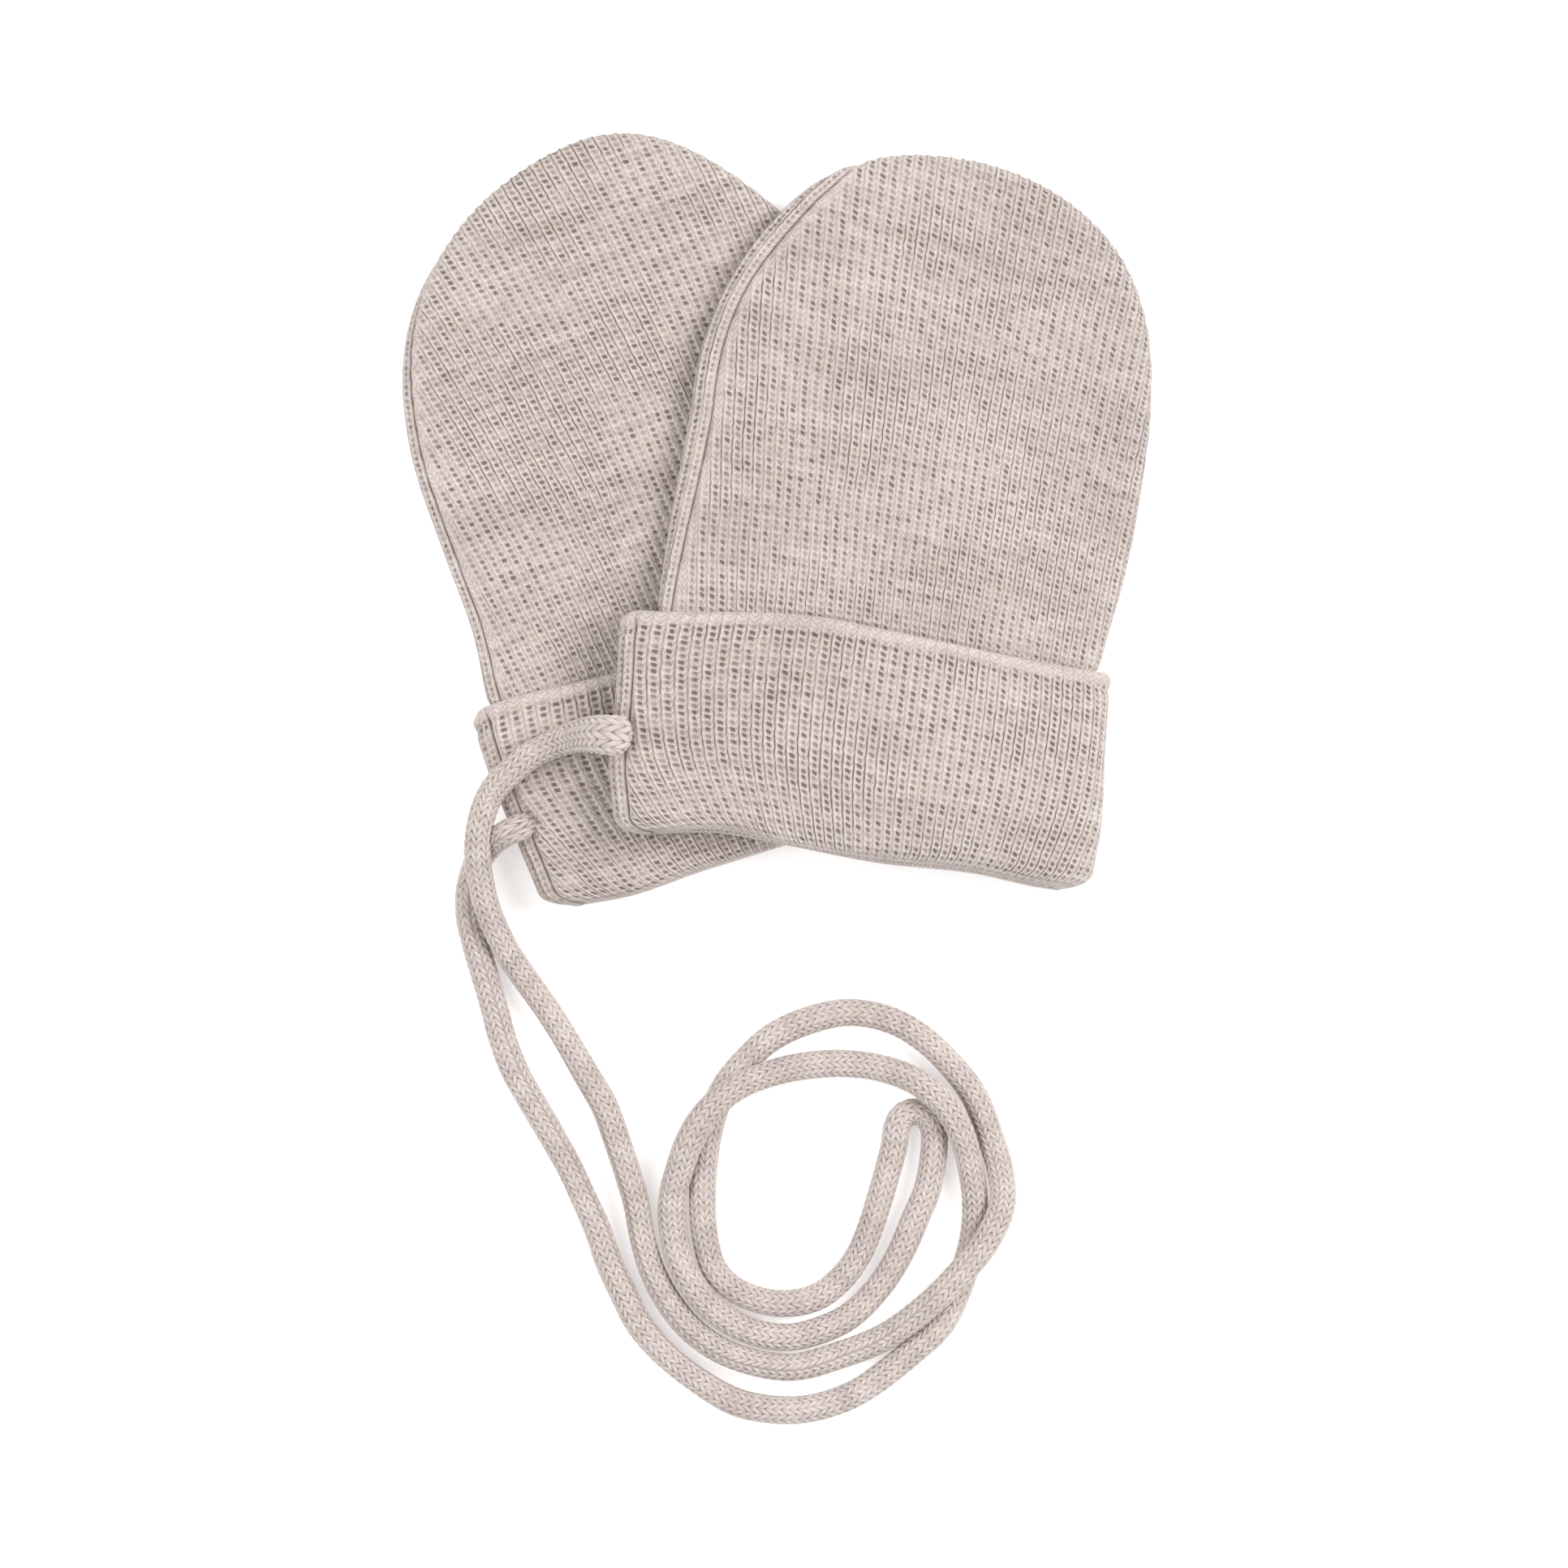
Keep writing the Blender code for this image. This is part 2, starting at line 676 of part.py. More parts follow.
def cuff_columns(face, count, rim_count, seams, width):
    """Share, turn and distance of each column round half the cuff, left seam to right seam."""
    seam_left, seam_right = seams
    half = math.pi / 2
    if face > 0:
        share = [-1.0] * 2 + list(np.linspace(-1, 1, count + 1)) + [1.0] * rim_count + [seam_right]
        turn = list(np.linspace(seam_left, half, 3)[:-1]) + [half] * (count + 1)
        turn += list(np.linspace(half, -half, rim_count + 1)[1:]) + [-half]
    else:
        share = [-1.0] * rim_count + list(np.linspace(-1.0, seam_right, count + 1))
        turn = list(np.linspace(seam_left, -half, rim_count + 1)[:-1]) + [-half] * (count + 1)
    share, turn = np.array(share), np.array(turn)
    run = np.hypot(np.diff(share) * width / 2, np.diff(turn) * CUFF_OUT)
    return share, turn, np.concatenate([[0.0], np.cumsum(run)])


def cuff_panel(m, lift, face, name, material):
    """Front (face 1) or back (face -1) of the turned-up cuff, a wall that hooks round its fold."""
    cloth = Cloth(m, lift)
    width = 2 * (m.cuff_sides[-1].half - CUFF_OUT)
    seams = (CUFF_SEAM_TURN + face * GAP / 2 / CUFF_OUT, CUFF_SEAM_SHARE + face * GAP / width)
    coarse = fine = cuff_columns(face, CUFF_COLUMNS, CUFF_RIM_COLUMNS, seams, width)
    if face > 0:
        fine = cuff_columns(face, 2 * round(width / RIB_PITCH), CUFF_RIM_RIBS, seams, width)
    skins = []
    for chain, above_fold in zip(cuff_chains(m), (fine, coarse)):
        lines = []
        for number, (level, up) in enumerate(chain):
            columns = above_fold if number < len(chain) - 2 else coarse
            share, turn, keys = columns
            raised = 0.0
            if columns is not coarse and number > 1:
                crest = (np.arange(len(share)) % 2 == 1) & (turn > 0)
                raised = np.where(crest, RIB_HEIGHT, 0.0)
            lines.append((cloth.line(*cuff_point(m, share, turn, level + raised, up)), keys))
        for (one, one_keys), (two, two_keys) in zip(lines, lines[1:]):
            cloth.stitch(one, one_keys, two, two_keys)
        skins.append((lines, np.arange(len(chain)) / (len(chain) - 1)))
    (outer, outer_ends), (inner, inner_ends) = skins
    for row in (0, -1):
        cloth.stitch(*outer[row], *inner[row])
    for end in (0, -1):
        outer_end = [line[end] for line, _ in outer]
        inner_end = [line[end] for line, _ in inner]
        cloth.stitch(outer_end, outer_ends, inner_end, inner_ends)
    cloth.finish(name, material)


# Cord


def cord_line():
    """Closely spaced points of the smooth curve through the cord's route."""
    bends = np.array(CORD_ROUTE)
    pace = np.sqrt(np.linalg.norm(np.diff(bends, axis=0), axis=1))
    knots = np.concatenate([[0.0], np.cumsum(pace)])
    slopes = np.gradient(bends, knots, axis=0)
    points = []
    for i, width in enumerate(pace):
        t = np.linspace(0.0, 1.0, 20, endpoint=False)[:, None]
        start = (1 + 2 * t) * (1 - t) ** 2 * bends[i] + t * (1 - t) ** 2 * width * slopes[i]
        end = t * t * (3 - 2 * t) * bends[i + 1] + t * t * (t - 1) * width * slopes[i + 1]
        points.append(start + end)
    points.append(bends[-1:])
    return np.concatenate(points)


def cord_tube(name, material):
    """Plain tube along the cord, with its points closer together where it bends."""
    line = cord_line()
    run = np.concatenate([[0.0], np.cumsum(np.linalg.norm(np.diff(line, axis=0), axis=1))])
    heading = np.gradient(line, run, axis=0)
    heading /= np.linalg.norm(heading, axis=1)[:, None]
    bend = np.linalg.norm(np.gradient(heading, run, axis=0), axis=1)

    def step_at(along):
        radius = 1.0 / np.maximum(np.interp(along, run, bend), FLATTEST_BEND)
        return np.clip(CORD_BEND_STEP * radius, CORD_SHORTEST_STEP, CORD_STEP)

    places = paced(0.0, run[-1], step_at)
    curve = bpy.data.curves.new(name, "CURVE")
    curve.dimensions = "3D"
    curve.twist_mode = "MINIMUM"
    curve.bevel_depth = CORD_DIAMETER / 2 * MM
    curve.bevel_resolution = 2
    curve.use_fill_caps = True
    spline = curve.splines.new("POLY")
    spline.points.add(len(places) - 1)
    for point, place in zip(spline.points, places):
        point.co = (*[np.interp(place, run, line[:, axis]) * MM for axis in range(3)], 1.0)
    curve.materials.append(material)
    COLLECTION.objects.link(bpy.data.objects.new(name, curve))


# Materials and the whole


def cloth_material(name, colour):
    """Matte cloth of one colour."""
    material = bpy.data.materials.new(name)
    material.use_nodes = True
    shader = material.node_tree.nodes["Principled BSDF"]
    shader.inputs["Base Color"].default_value = (*colour, 1.0)
    shader.inputs["Roughness"].default_value = ROUGHNESS
    shader.inputs["Metallic"].default_value = 0.0
    return material


def main():
    """Makes both mittens and the cord."""
    knit = cloth_material("rib_knit_wool", RIB_COLOUR)
    for m in (LEFT, RIGHT):
        lift = drape(m)
        body_panel(m, lift, 1, f"{m.name}_body_front", knit)
        body_panel(m, lift, -1, f"{m.name}_body_back", knit)
        cuff_panel(m, lift, 1, f"{m.name}_cuff_front", knit)
        cuff_panel(m, lift, -1, f"{m.name}_cuff_back", knit)
    cord_tube("cord", cloth_material("knitted_cord", CORD_COLOUR))


for thing in list(bpy.data.objects):
    bpy.data.objects.remove(thing, do_unlink=True)
COLLECTION = bpy.data.collections.new("pair_of_mittens")
bpy.context.scene.collection.children.link(COLLECTION)
main()
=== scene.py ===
"""Looks of the pair of baby mittens: fine rib knit in heathered wool, and a knitted cord.

Sizes are metres. Each mitten has its own frame: across runs to its right, up runs from the
fold at the cuff's foot to the round top, and height is up from the surface that it lies on.
Each piece of cloth is a closed wall: a finely knitted outside over a plain inside.
"""

import math
from collections import namedtuple
from dataclasses import dataclass
from functools import lru_cache

import bmesh
import bpy
import numpy as np
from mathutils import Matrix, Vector


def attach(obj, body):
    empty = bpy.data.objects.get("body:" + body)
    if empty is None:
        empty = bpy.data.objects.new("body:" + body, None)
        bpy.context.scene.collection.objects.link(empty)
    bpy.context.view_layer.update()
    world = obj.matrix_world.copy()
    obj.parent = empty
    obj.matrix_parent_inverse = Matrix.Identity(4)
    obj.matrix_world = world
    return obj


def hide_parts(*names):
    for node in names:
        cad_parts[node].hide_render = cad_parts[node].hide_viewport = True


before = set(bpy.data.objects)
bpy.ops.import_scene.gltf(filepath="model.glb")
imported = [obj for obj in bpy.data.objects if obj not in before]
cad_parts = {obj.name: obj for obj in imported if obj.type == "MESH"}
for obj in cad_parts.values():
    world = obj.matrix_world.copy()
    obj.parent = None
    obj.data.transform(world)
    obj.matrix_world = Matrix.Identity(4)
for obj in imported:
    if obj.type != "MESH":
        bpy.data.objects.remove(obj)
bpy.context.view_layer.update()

# Photograph
PIXEL = 0.00013
PICTURE = 1932
MIDDLE_PIXEL = (959.6, 643.0)
LENS = 300.0
SENSOR = 36.0

# Cloth
GAP = 0.0003
SLIT_HALF = 0.0002
BODY_WALL = 0.0018
CUFF_WALL = 0.002

# Relief of the knit: the valley between two ribs is crossed by a bar at each course, with a
# hole between one bar and the next
LEG = 0.0003
BAR = 0.00012
HOLE = 0.00014

# Levels count outward from the plane halfway between a mitten's front and back
BODY_OUT = SLIT_HALF + BODY_WALL
CUFF_IN = BODY_OUT + GAP
CUFF_OUT = CUFF_IN + CUFF_WALL
FOLD_RADIUS = (CUFF_OUT - SLIT_HALF) / 2

# Places along a mitten
CUFF_HEIGHT = 0.034
CUFF_HEM = 0.003
CUFF_CORNER = 0.003
CUFF_TOP_REACH = 0.003
CUFF_TOP_DROP = 0.0012
CUFF_SEAM_TURN = math.radians(60)
CUFF_SEAM_SHARE = 0.94
BODY_FOOT = 0.005
SETTLE = 0.015

# Seams: the edges of two pieces turn down into a groove
SEAM_GAP = 0.00006
SEAM_DIP = 0.0008
SEAM_SOFT = 0.0014

# Where the holes between the ribs close up: beside a seam, at a cuff's top edge and at its fold
SEAM_LINE = 0.00035
SEAM_SHUT = 0.0005
FRONT_OPENS = 0.0016
BACK_OPENS = 0.0004
# How dark the painted shade along a seam's groove is
SEAM_SHADE = 0.55
CUFF_OPEN = 1.1
EDGE_SHUT = 0.0015
EDGE_OPENS = 0.0018
FOLD_OPENS = 0.0022

# How uneven the holes are, how far they slope on the left and on the right mitten, and how much fainter
# or stronger than usual the painted shade in the groove between a rib's legs may be
UNEVEN = 0.35
HOLE_SLANTS = (0.25, 0.7)
GROOVE_SHADES = (0.4, 1.3)

# The crease that ends the rounded ridge along a cuff's top edge. Its holes open wider, partly deeper in
# the relief and partly darker painted shade.
CREASE_PLACE = 0.0033
CREASE_WIDTH = 0.0008
CREASE_DEPTH = 0.0003
CREASE_OPENS = 0.4

# How the upper mitten comes down off the lower one
DRAPE_REACH = 0.026
DRAPE_GAP = 0.0005
DRAPE_CELL = 0.0015
DRAPE_X = (-0.04, 0.075)
DRAPE_Y = (-0.07, 0.075)

# Mesh steps: fine where the knit shows
FINE_COLUMN = 0.00025
FINE_ROW = 0.00027
COARSE_COLUMN = 0.004
COARSE_ROW = 0.004
HIDDEN_ROW = 0.0025
RIM_STEP = 0.0005
RIM_RINGS = 24
COMB_INSET = 0.003
COMB_MARGIN = 0.0003
SEAM_MARGIN = 0.0012
SHORTEST_STEP = 0.0002

# Cord: each wale is a column of stitches, and each stitch is two slanting legs
CORD_DIAMETER = 0.0042
CORD_WALES = 7
CORD_COLUMNS = 56
CORD_STITCH = 0.0013
CORD_RINGS = 3
CORD_RELIEF = 0.00035
CORD_SLANT = 2.0
CORD_TWIST = 14.0
CORD_SWELL = 0.05
CORD_FLAT_END = 0.5
CORD_FLAT_REACH = 0.02
CORD_PLAIN_END = 0.004
CORD_PATH_STEP = 0.001

# Looks
LIGHT = (0.77, 0.69, 0.664)
DARK = (0.52, 0.445, 0.425)
YELLOW = (0.73, 0.64, 0.53)
PINK = (0.67, 0.565, 0.565)
# Colour of the painted shade in the knit's holes, grooves and gaps
HOLE_SHADE = (0.31, 0.28, 0.265)
FLOOR_COLOUR = (0.95, 0.95, 0.95)
FLOOR_GLOW = 0.35
LAMPS = [("key", (0.95, 0.35, 1.1), 0.8, 14.2), ("fill", (-0.9, -0.1, 1.2), 1.2, 9.5)]
WORLD_LIGHT = 0.54

Side = namedtuple("Side", "up middle half")
Edge = namedtuple("Edge", "across front back top")
Roll = namedtuple("Roll", "share roll")
Bend = namedtuple("Bend", "x y z")

# Ribs and courses of a turned-up cuff, which fan out and bow. The count at a place is a sum:
# each key says how many times its number is multiplied by across and by up.
CUFF_RIBS = {
    (1, 0): 635.4,
    (0, 1): 72.7,
    (2, 0): 384.1,
    (1, 1): -7542.0,
    (0, 2): -3696.0,
    (3, 0): -8032.0,
    (2, 1): 24140.0,
    (1, 2): 145600.0,
    (0, 3): 42030.0,
}
CUFF_COURSES = {
    (1, 0): -9.6,
    (0, 1): 1022.0,
    (2, 0): 694.6,
    (1, 1): 406.0,
    (0, 2): -2997.0,
    (3, 0): 3801.0,
    (2, 1): 38230.0,
    (1, 2): 4543.0,
    (0, 3): 64220.0,
}
BACK_RIB = 0.0016
BACK_COURSE = 0.00105


@dataclass(eq=False)
class Mitten:
    """Shape and place of one mitten.

    foot is where the middle of the cuff's fold lies, lean is clockwise in degrees, and drift
    is how the round top wanders sideways. sides are the body's half widths up to the widest
    place. cuff_edges say how far the cuff's folds at the front and back and its top stray from
    straight. seam says how far round the rim the side seam lies, from the left foot over the
    top to the right foot: 0 is the outermost line, more is on top and less is underneath.
    ribs and courses count the body's ribs and courses from the middle of its foot: the cloth
    lies a little askew.
    """

    name: str
    foot: tuple
    lean: float
    length: float
    dome_power: float
    drift: tuple
    sides: list
    cuff_sides: list
    cuff_edges: list
    seam: list
    ribs: dict
    courses: dict
    first_wale: float
    lies_on: object = None


LEFT = Mitten(
    name="left",
    foot=(-0.0018, -0.0504),
    lean=-16.0,
    length=0.1152,
    dome_power=1.87,
    drift=(-0.007, -0.01),
    sides=[
        Side(0.005, 0.0, 0.035),
        Side(0.024, 0.0, 0.0366),
        Side(0.033, 0.0, 0.0368),
        Side(0.044, 0.0, 0.0362),
        Side(0.057, 0.0, 0.0371),
        Side(0.071, 0.0, 0.0379),
    ],
    cuff_sides=[
        Side(0.0, 0.0, 0.0374),
        Side(0.01, 0.0, 0.0383),
        Side(0.024, 0.0, 0.0398),
        Side(0.034, 0.0, 0.04),
    ],
    cuff_edges=[
        Edge(-0.038, -0.0009, -0.0014, -0.0016),
        Edge(-0.031, -0.0019, -0.0024, -0.0014),
        Edge(-0.024, -0.0028, -0.0031, -0.0018),
        Edge(-0.012, -0.0021, -0.0025, -0.0022),
        Edge(0.0, -0.0019, -0.0022, -0.0023),
        Edge(0.038, -0.001, -0.0014, -0.002),
    ],
    seam=[
        Roll(0.0, 0.0043),
        Roll(0.12, 0.0027),
        Roll(0.32, 0.0018),
        Roll(0.40, 0.0),
        Roll(0.52, -0.0035),
        Roll(1.0, -0.005),
    ],
    ribs={(1, 0): 704.0, (0, 1): 57.4, (2, 0): 83.0, (1, 1): -1550.0, (0, 2): 326.0},
    courses={(1, 0): -24.3, (0, 1): 895.0, (2, 0): 1208.0, (1, 1): -123.0, (0, 2): 439.0},
    first_wale=100.0,
)

RIGHT = Mitten(
    name="right",
    foot=(0.0115, -0.0523),
    lean=6.1,
    length=0.1115,
    dome_power=2.2,
    drift=(0.0055, 0.0061),
    sides=[
        Side(0.005, 0.0002, 0.035),
        Side(0.028, 0.0004, 0.0349),
        Side(0.0355, 0.0011, 0.0355),
        Side(0.049, 0.0024, 0.0365),
        Side(0.061, 0.0034, 0.0365),
        Side(0.069, 0.0038, 0.0364),
    ],
    cuff_sides=[
        Side(0.0, 0.0004, 0.0382),
        Side(0.011, -0.0002, 0.0394),
        Side(0.02, -0.0005, 0.0391),
        Side(0.034, -0.001, 0.0392),
    ],
    cuff_edges=[
        Edge(-0.038, -0.0012, -0.0016, 0.0002),
        Edge(-0.02, 0.0011, 0.0002, 0.0017),
        Edge(-0.01, 0.0, -0.0006, 0.0022),
        Edge(0.004, -0.0009, -0.0018, 0.001),
        Edge(0.02, -0.0011, -0.0019, -0.0006),
        Edge(0.033, -0.0023, -0.0031, -0.0016),
        Edge(0.038, -0.0022, -0.0028, -0.0018),
    ],
    seam=[
        Roll(0.0, 0.003),
        Roll(0.13, 0.0032),
        Roll(0.175, 0.004),
        Roll(0.23, 0.0044),
        Roll(0.32, 0.004),
        Roll(0.40, 0.0035),
        Roll(0.42, 0.0026),
        Roll(0.442, 0.0),
        Roll(0.52, -0.0035),
        Roll(1.0, -0.005),
    ],
    ribs={(1, 0): 708.0, (0, 1): 13.2, (2, 0): 349.0, (1, 1): -1640.0, (0, 2): -136.0},
    courses={(1, 0): 2.2, (0, 1): 918.0, (2, 0): 1823.0, (1, 1): 2022.0, (0, 2): 546.0},
    first_wale=300.0,
    lies_on=LEFT,
)


# The cord's route, from the right cuff's side seam to the left one's

LYING = 0.00215
CORD_ROUTE = [
    Bend(-0.0243, -0.0346, 0.0185),
    Bend(-0.0252, -0.0344, 0.0194),
    Bend(-0.0269, -0.0342, 0.0197),
    Bend(-0.0288, -0.0341, 0.0182),
    Bend(-0.0309, -0.0342, 0.0153),
    Bend(-0.033, -0.0347, 0.0127),
    Bend(-0.0351, -0.0354, 0.0116),
    Bend(-0.0391, -0.0372, 0.0113),
    Bend(-0.0426, -0.0399, 0.0111),
    Bend(-0.0458, -0.0434, 0.0094),
    Bend(-0.0475, -0.0478, 0.0093),
    Bend(-0.0481, -0.0529, 0.0083),
    Bend(-0.0475, -0.0578, 0.0069),
    Bend(-0.0466, -0.0617, 0.0061),
    Bend(-0.0449, -0.0659, 0.0048),
    Bend(-0.043, -0.0695, 0.0032),
    Bend(-0.0408, -0.0728, 0.0023),
    Bend(-0.0371, -0.078, LYING),
    Bend(-0.034, -0.0829, LYING),
    Bend(-0.0309, -0.0883, LYING),
    Bend(-0.0279, -0.0935, LYING),
    Bend(-0.026, -0.0987, LYING),
    Bend(-0.0243, -0.1039, LYING),
    Bend(-0.0228, -0.1091, LYING),
    Bend(-0.0219, -0.1143, LYING),
    Bend(-0.0204, -0.1195, LYING),
    Bend(-0.0176, -0.1249, LYING),
    Bend(-0.0132, -0.13, LYING),
    Bend(-0.0071, -0.1336, LYING),
    Bend(0.002, -0.1353, LYING),
    Bend(0.0105, -0.1331, 0.0023),
    Bend(0.017, -0.1304, 0.0033),
    Bend(0.0232, -0.1258, 0.0056),
    Bend(0.029, -0.1201, 0.0068),
    Bend(0.0333, -0.1147, 0.0063),
    Bend(0.0358, -0.1088, 0.0039),
    Bend(0.0354, -0.1036, 0.0025),
    Bend(0.0336, -0.0978, LYING),
    Bend(0.0313, -0.0919, LYING),
    Bend(0.0284, -0.0879, LYING),
    Bend(0.0237, -0.0832, LYING),
    Bend(0.0183, -0.0799, LYING),
    Bend(0.0111, -0.0785, LYING),
    Bend(0.0039, -0.0801, LYING),
    Bend(-0.0015, -0.0828, LYING),
    Bend(-0.0051, -0.0861, LYING),
    Bend(-0.0084, -0.0901, LYING),
    Bend(-0.0105, -0.0948, LYING),
    Bend(-0.0118, -0.101, LYING),
    Bend(-0.0122, -0.1088, LYING),
    Bend(-0.0118, -0.1143, LYING),
    Bend(-0.0105, -0.1192, LYING),
    Bend(-0.0079, -0.1223, LYING),
    Bend(-0.004, -0.1243, LYING),
    Bend(0.0008, -0.1251, LYING),
    Bend(0.006, -0.1241, LYING),
    Bend(0.0102, -0.1209, LYING),
    Bend(0.0128, -0.1173, LYING),
    Bend(0.0145, -0.1134, LYING),
    Bend(0.016, -0.1088, LYING),
    Bend(0.0175, -0.1036, LYING),
    Bend(0.0185, -0.0997, LYING),
    Bend(0.0188, -0.0972, LYING),
    Bend(0.0198, -0.0952, LYING),
    Bend(0.0218, -0.0944, LYING),
    Bend(0.0237, -0.0952, LYING),
    Bend(0.0248, -0.0972, LYING),
    Bend(0.0249, -0.0994, LYING),
    Bend(0.0246, -0.1026, LYING),
    Bend(0.0237, -0.107, LYING),
    Bend(0.0219, -0.1114, LYING),
    Bend(0.0193, -0.1173, LYING),
    Bend(0.0163, -0.1221, LYING),
    Bend(0.0115, -0.127, LYING),
    Bend(0.0068, -0.1293, LYING),
    Bend(0.0016, -0.1305, LYING),
    Bend(-0.0046, -0.1295, 0.0022),
    Bend(-0.0101, -0.1264, 0.0026),
    Bend(-0.014, -0.1219, 0.0033),
    Bend(-0.0161, -0.1173, 0.0032),
    Bend(-0.017, -0.1127, 0.0026),
    Bend(-0.017, -0.1082, 0.0032),
    Bend(-0.0158, -0.1033, 0.0049),
    Bend(-0.0143, -0.0991, 0.0062),
    Bend(-0.0115, -0.0945, 0.0066),
    Bend(-0.0071, -0.0907, 0.0065),
    Bend(-0.0015, -0.0883, 0.005),
    Bend(0.0039, -0.0871, 0.0032),
    Bend(0.0105, -0.0867, 0.0024),
    Bend(0.017, -0.0876, 0.0032),
    Bend(0.0224, -0.0898, 0.0048),
    Bend(0.0268, -0.0936, 0.0052),
    Bend(0.0294, -0.0984, 0.0046),
    Bend(0.0307, -0.1036, 0.003),
    Bend(0.0314, -0.1088, LYING),
    Bend(0.0311, -0.1147, LYING),
    Bend(0.0288, -0.1225, LYING),
    Bend(0.0261, -0.1283, LYING),
    Bend(0.021, -0.1331, LYING),
    Bend(0.0131, -0.139, LYING),
    Bend(0.0072, -0.1414, LYING),
    Bend(0.0014, -0.1422, LYING),
    Bend(-0.0065, -0.141, LYING),
    Bend(-0.0128, -0.1375, LYING),
    Bend(-0.0182, -0.1332, LYING),
    Bend(-0.0222, -0.1286, LYING),
    Bend(-0.0249, -0.1234, LYING),
    Bend(-0.0271, -0.1187, LYING),
    Bend(-0.0289, -0.1135, LYING),
    Bend(-0.0312, -0.1083, LYING),
    Bend(-0.0335, -0.1033, LYING),
    Bend(-0.0364, -0.0981, LYING),
    Bend(-0.0395, -0.0928, LYING),
    Bend(-0.0422, -0.088, LYING),
    Bend(-0.0442, -0.0828, LYING),
    Bend(-0.0456, -0.0776, LYING),
    Bend(-0.0471, -0.0724, LYING),
    Bend(-0.0484, -0.0679, LYING),
    Bend(-0.0494, -0.0633, LYING),
    Bend(-0.0494, -0.0588, LYING),
    Bend(-0.0482, -0.0545, 0.0024),
    Bend(-0.0467, -0.0524, 0.0037),
    Bend(-0.0453, -0.0511, 0.0063),
    Bend(-0.044, -0.0502, 0.0087),
    Bend(-0.0426, -0.0494, 0.0101),
    Bend(-0.0414, -0.0489, 0.01),
    Bend(-0.0408, -0.0486, 0.0091),
]


def flow(rows, column, at):
    """Smooth curve through one column of a table, level at both ends."""
    places = np.array([row[0] for row in rows])
    values = np.array([getattr(row, column) for row in rows])
    slopes = np.gradient(values, places)
    slopes[0] = slopes[-1] = 0.0
    at = np.clip(at, places[0], places[-1])
    i = np.clip(np.searchsorted(places, at, side="right") - 1, 0, len(places) - 2)
    width = places[i + 1] - places[i]
    t = (at - places[i]) / width
    start = (1 + 2 * t) * (1 - t) ** 2 * values[i] + t * (1 - t) ** 2 * width * slopes[i]
    end = t * t * (3 - 2 * t) * values[i + 1] + t * t * (t - 1) * width * slopes[i + 1]
    return start + end


def ease(t):
    """Soft step from 0 to 1."""
    t = np.clip(t, 0.0, 1.0)
    return t * t * (3 - 2 * t)


def soft_noise(x, y, cell, seed):
    """Smooth random field in x and y, from -1 to 1."""
    grid = np.random.default_rng(seed).uniform(-1.0, 1.0, (64, 64))
    u, v = np.asarray(x) / cell, np.asarray(y) / cell
    i, j = np.floor(u).astype(int), np.floor(v).astype(int)
    a, b = ease(u - i), ease(v - j)
    low = grid[i % 64, j % 64] * (1 - a) + grid[(i + 1) % 64, j % 64] * a
    high = grid[i % 64, (j + 1) % 64] * (1 - a) + grid[(i + 1) % 64, (j + 1) % 64] * a
    return low * (1 - b) + high * b


# Knit


def uneven_knit(wale, course):
    """How open each hole is beside the others, about 1: hand-made knit is never even."""
    return 1 + UNEVEN * soft_noise(wale, course, 0.9, 11)


def grown(grain, across, up):
    """How many ribs or courses lie between the middle of a piece's foot and a point."""
    return sum(number * across**i * up**j for (i, j), number in grain.items())


def rib_relief(wale, course, openness):
    """How far the outside of the rib knit stands off the wall's plain outer level."""
    crest = 0.5 + 0.5 * np.cos(2 * math.pi * wale)
    between_bars = 0.5 - 0.5 * np.cos(2 * math.pi * course)
    open_part = np.maximum(openness, 0.0)
    return LEG * crest + (1 - crest) * (BAR - (BAR + HOLE) * between_bars * open_part)


def cord_relief(wale, stitch):
    """How far the cord's surface lies below its outermost line: slanting legs in pairs."""
    from_middle = np.abs(wale % 1.0 - 0.5)
    phase = (stitch + CORD_SLANT * from_middle) % 1.0
    across = np.sqrt(np.clip(1 - ((from_middle - 0.25) / 0.25) ** 2, 0, 1))
    along = 1 - np.abs(2 * phase - 1) ** 2.5
    return -CORD_RELIEF * (1 - (0.6 + 0.4 * across) * (0.2 + 0.8 * along))


# Body outline and the straight ribs


@lru_cache
def body_outline(m):
    """Closely spaced points round the body, left foot to right foot, and their distances."""
    wide = m.sides[-1]
    up = np.linspace(BODY_FOOT, wide.up, 90)
    middle, half = flow(m.sides, "middle", up), flow(m.sides, "half", up)
    turn = np.linspace(0.0, math.pi, 321)
    power = 2.0 / m.dome_power
    rise = np.abs(np.sin(turn)) ** power
    reach = -np.sign(np.cos(turn)) * np.abs(np.cos(turn)) ** power
    drift = m.drift[0] * rise**2 - m.drift[1] * rise**4
    dome_across = wide.middle + drift + wide.half * reach
    dome_up = wide.up + (m.length - wide.up) * rise
    across = np.concatenate([(middle - half)[:-1], dome_across, (middle + half)[-2::-1]])
    ups = np.concatenate([up[:-1], dome_up, up[-2::-1]])
    run = np.concatenate([[0.0], np.cumsum(np.hypot(np.diff(across), np.diff(ups)))])
    along = np.linspace(0.0, run[-1], 721)
    return along, np.interp(along, run, across), np.interp(along, run, ups)


def outline_at(m, along):
    """Point and outward direction of the body's outline at a distance along it."""
    run, across, up = body_outline(m)
    slope_across, slope_up = np.gradient(across, run[1]), np.gradient(up, run[1])
    size = np.hypot(slope_across, slope_up)
    out_across, out_up = -slope_up / size, slope_across / size
    return [np.interp(along, run, part) for part in (across, up, out_across, out_up)]


def rib_spread(m, up):
    """Middle line of the ribs and how far they are drawn together, at a place up the mitten."""
    wide = m.sides[-1]
    below = np.minimum(up, wide.up)
    return flow(m.sides, "middle", below), flow(m.sides, "half", below) / wide.half


def cuff_top(m, across):
    """How far up the mitten its cuff's top edge lies."""
    return CUFF_HEIGHT + flow(m.cuff_edges, "top", across)


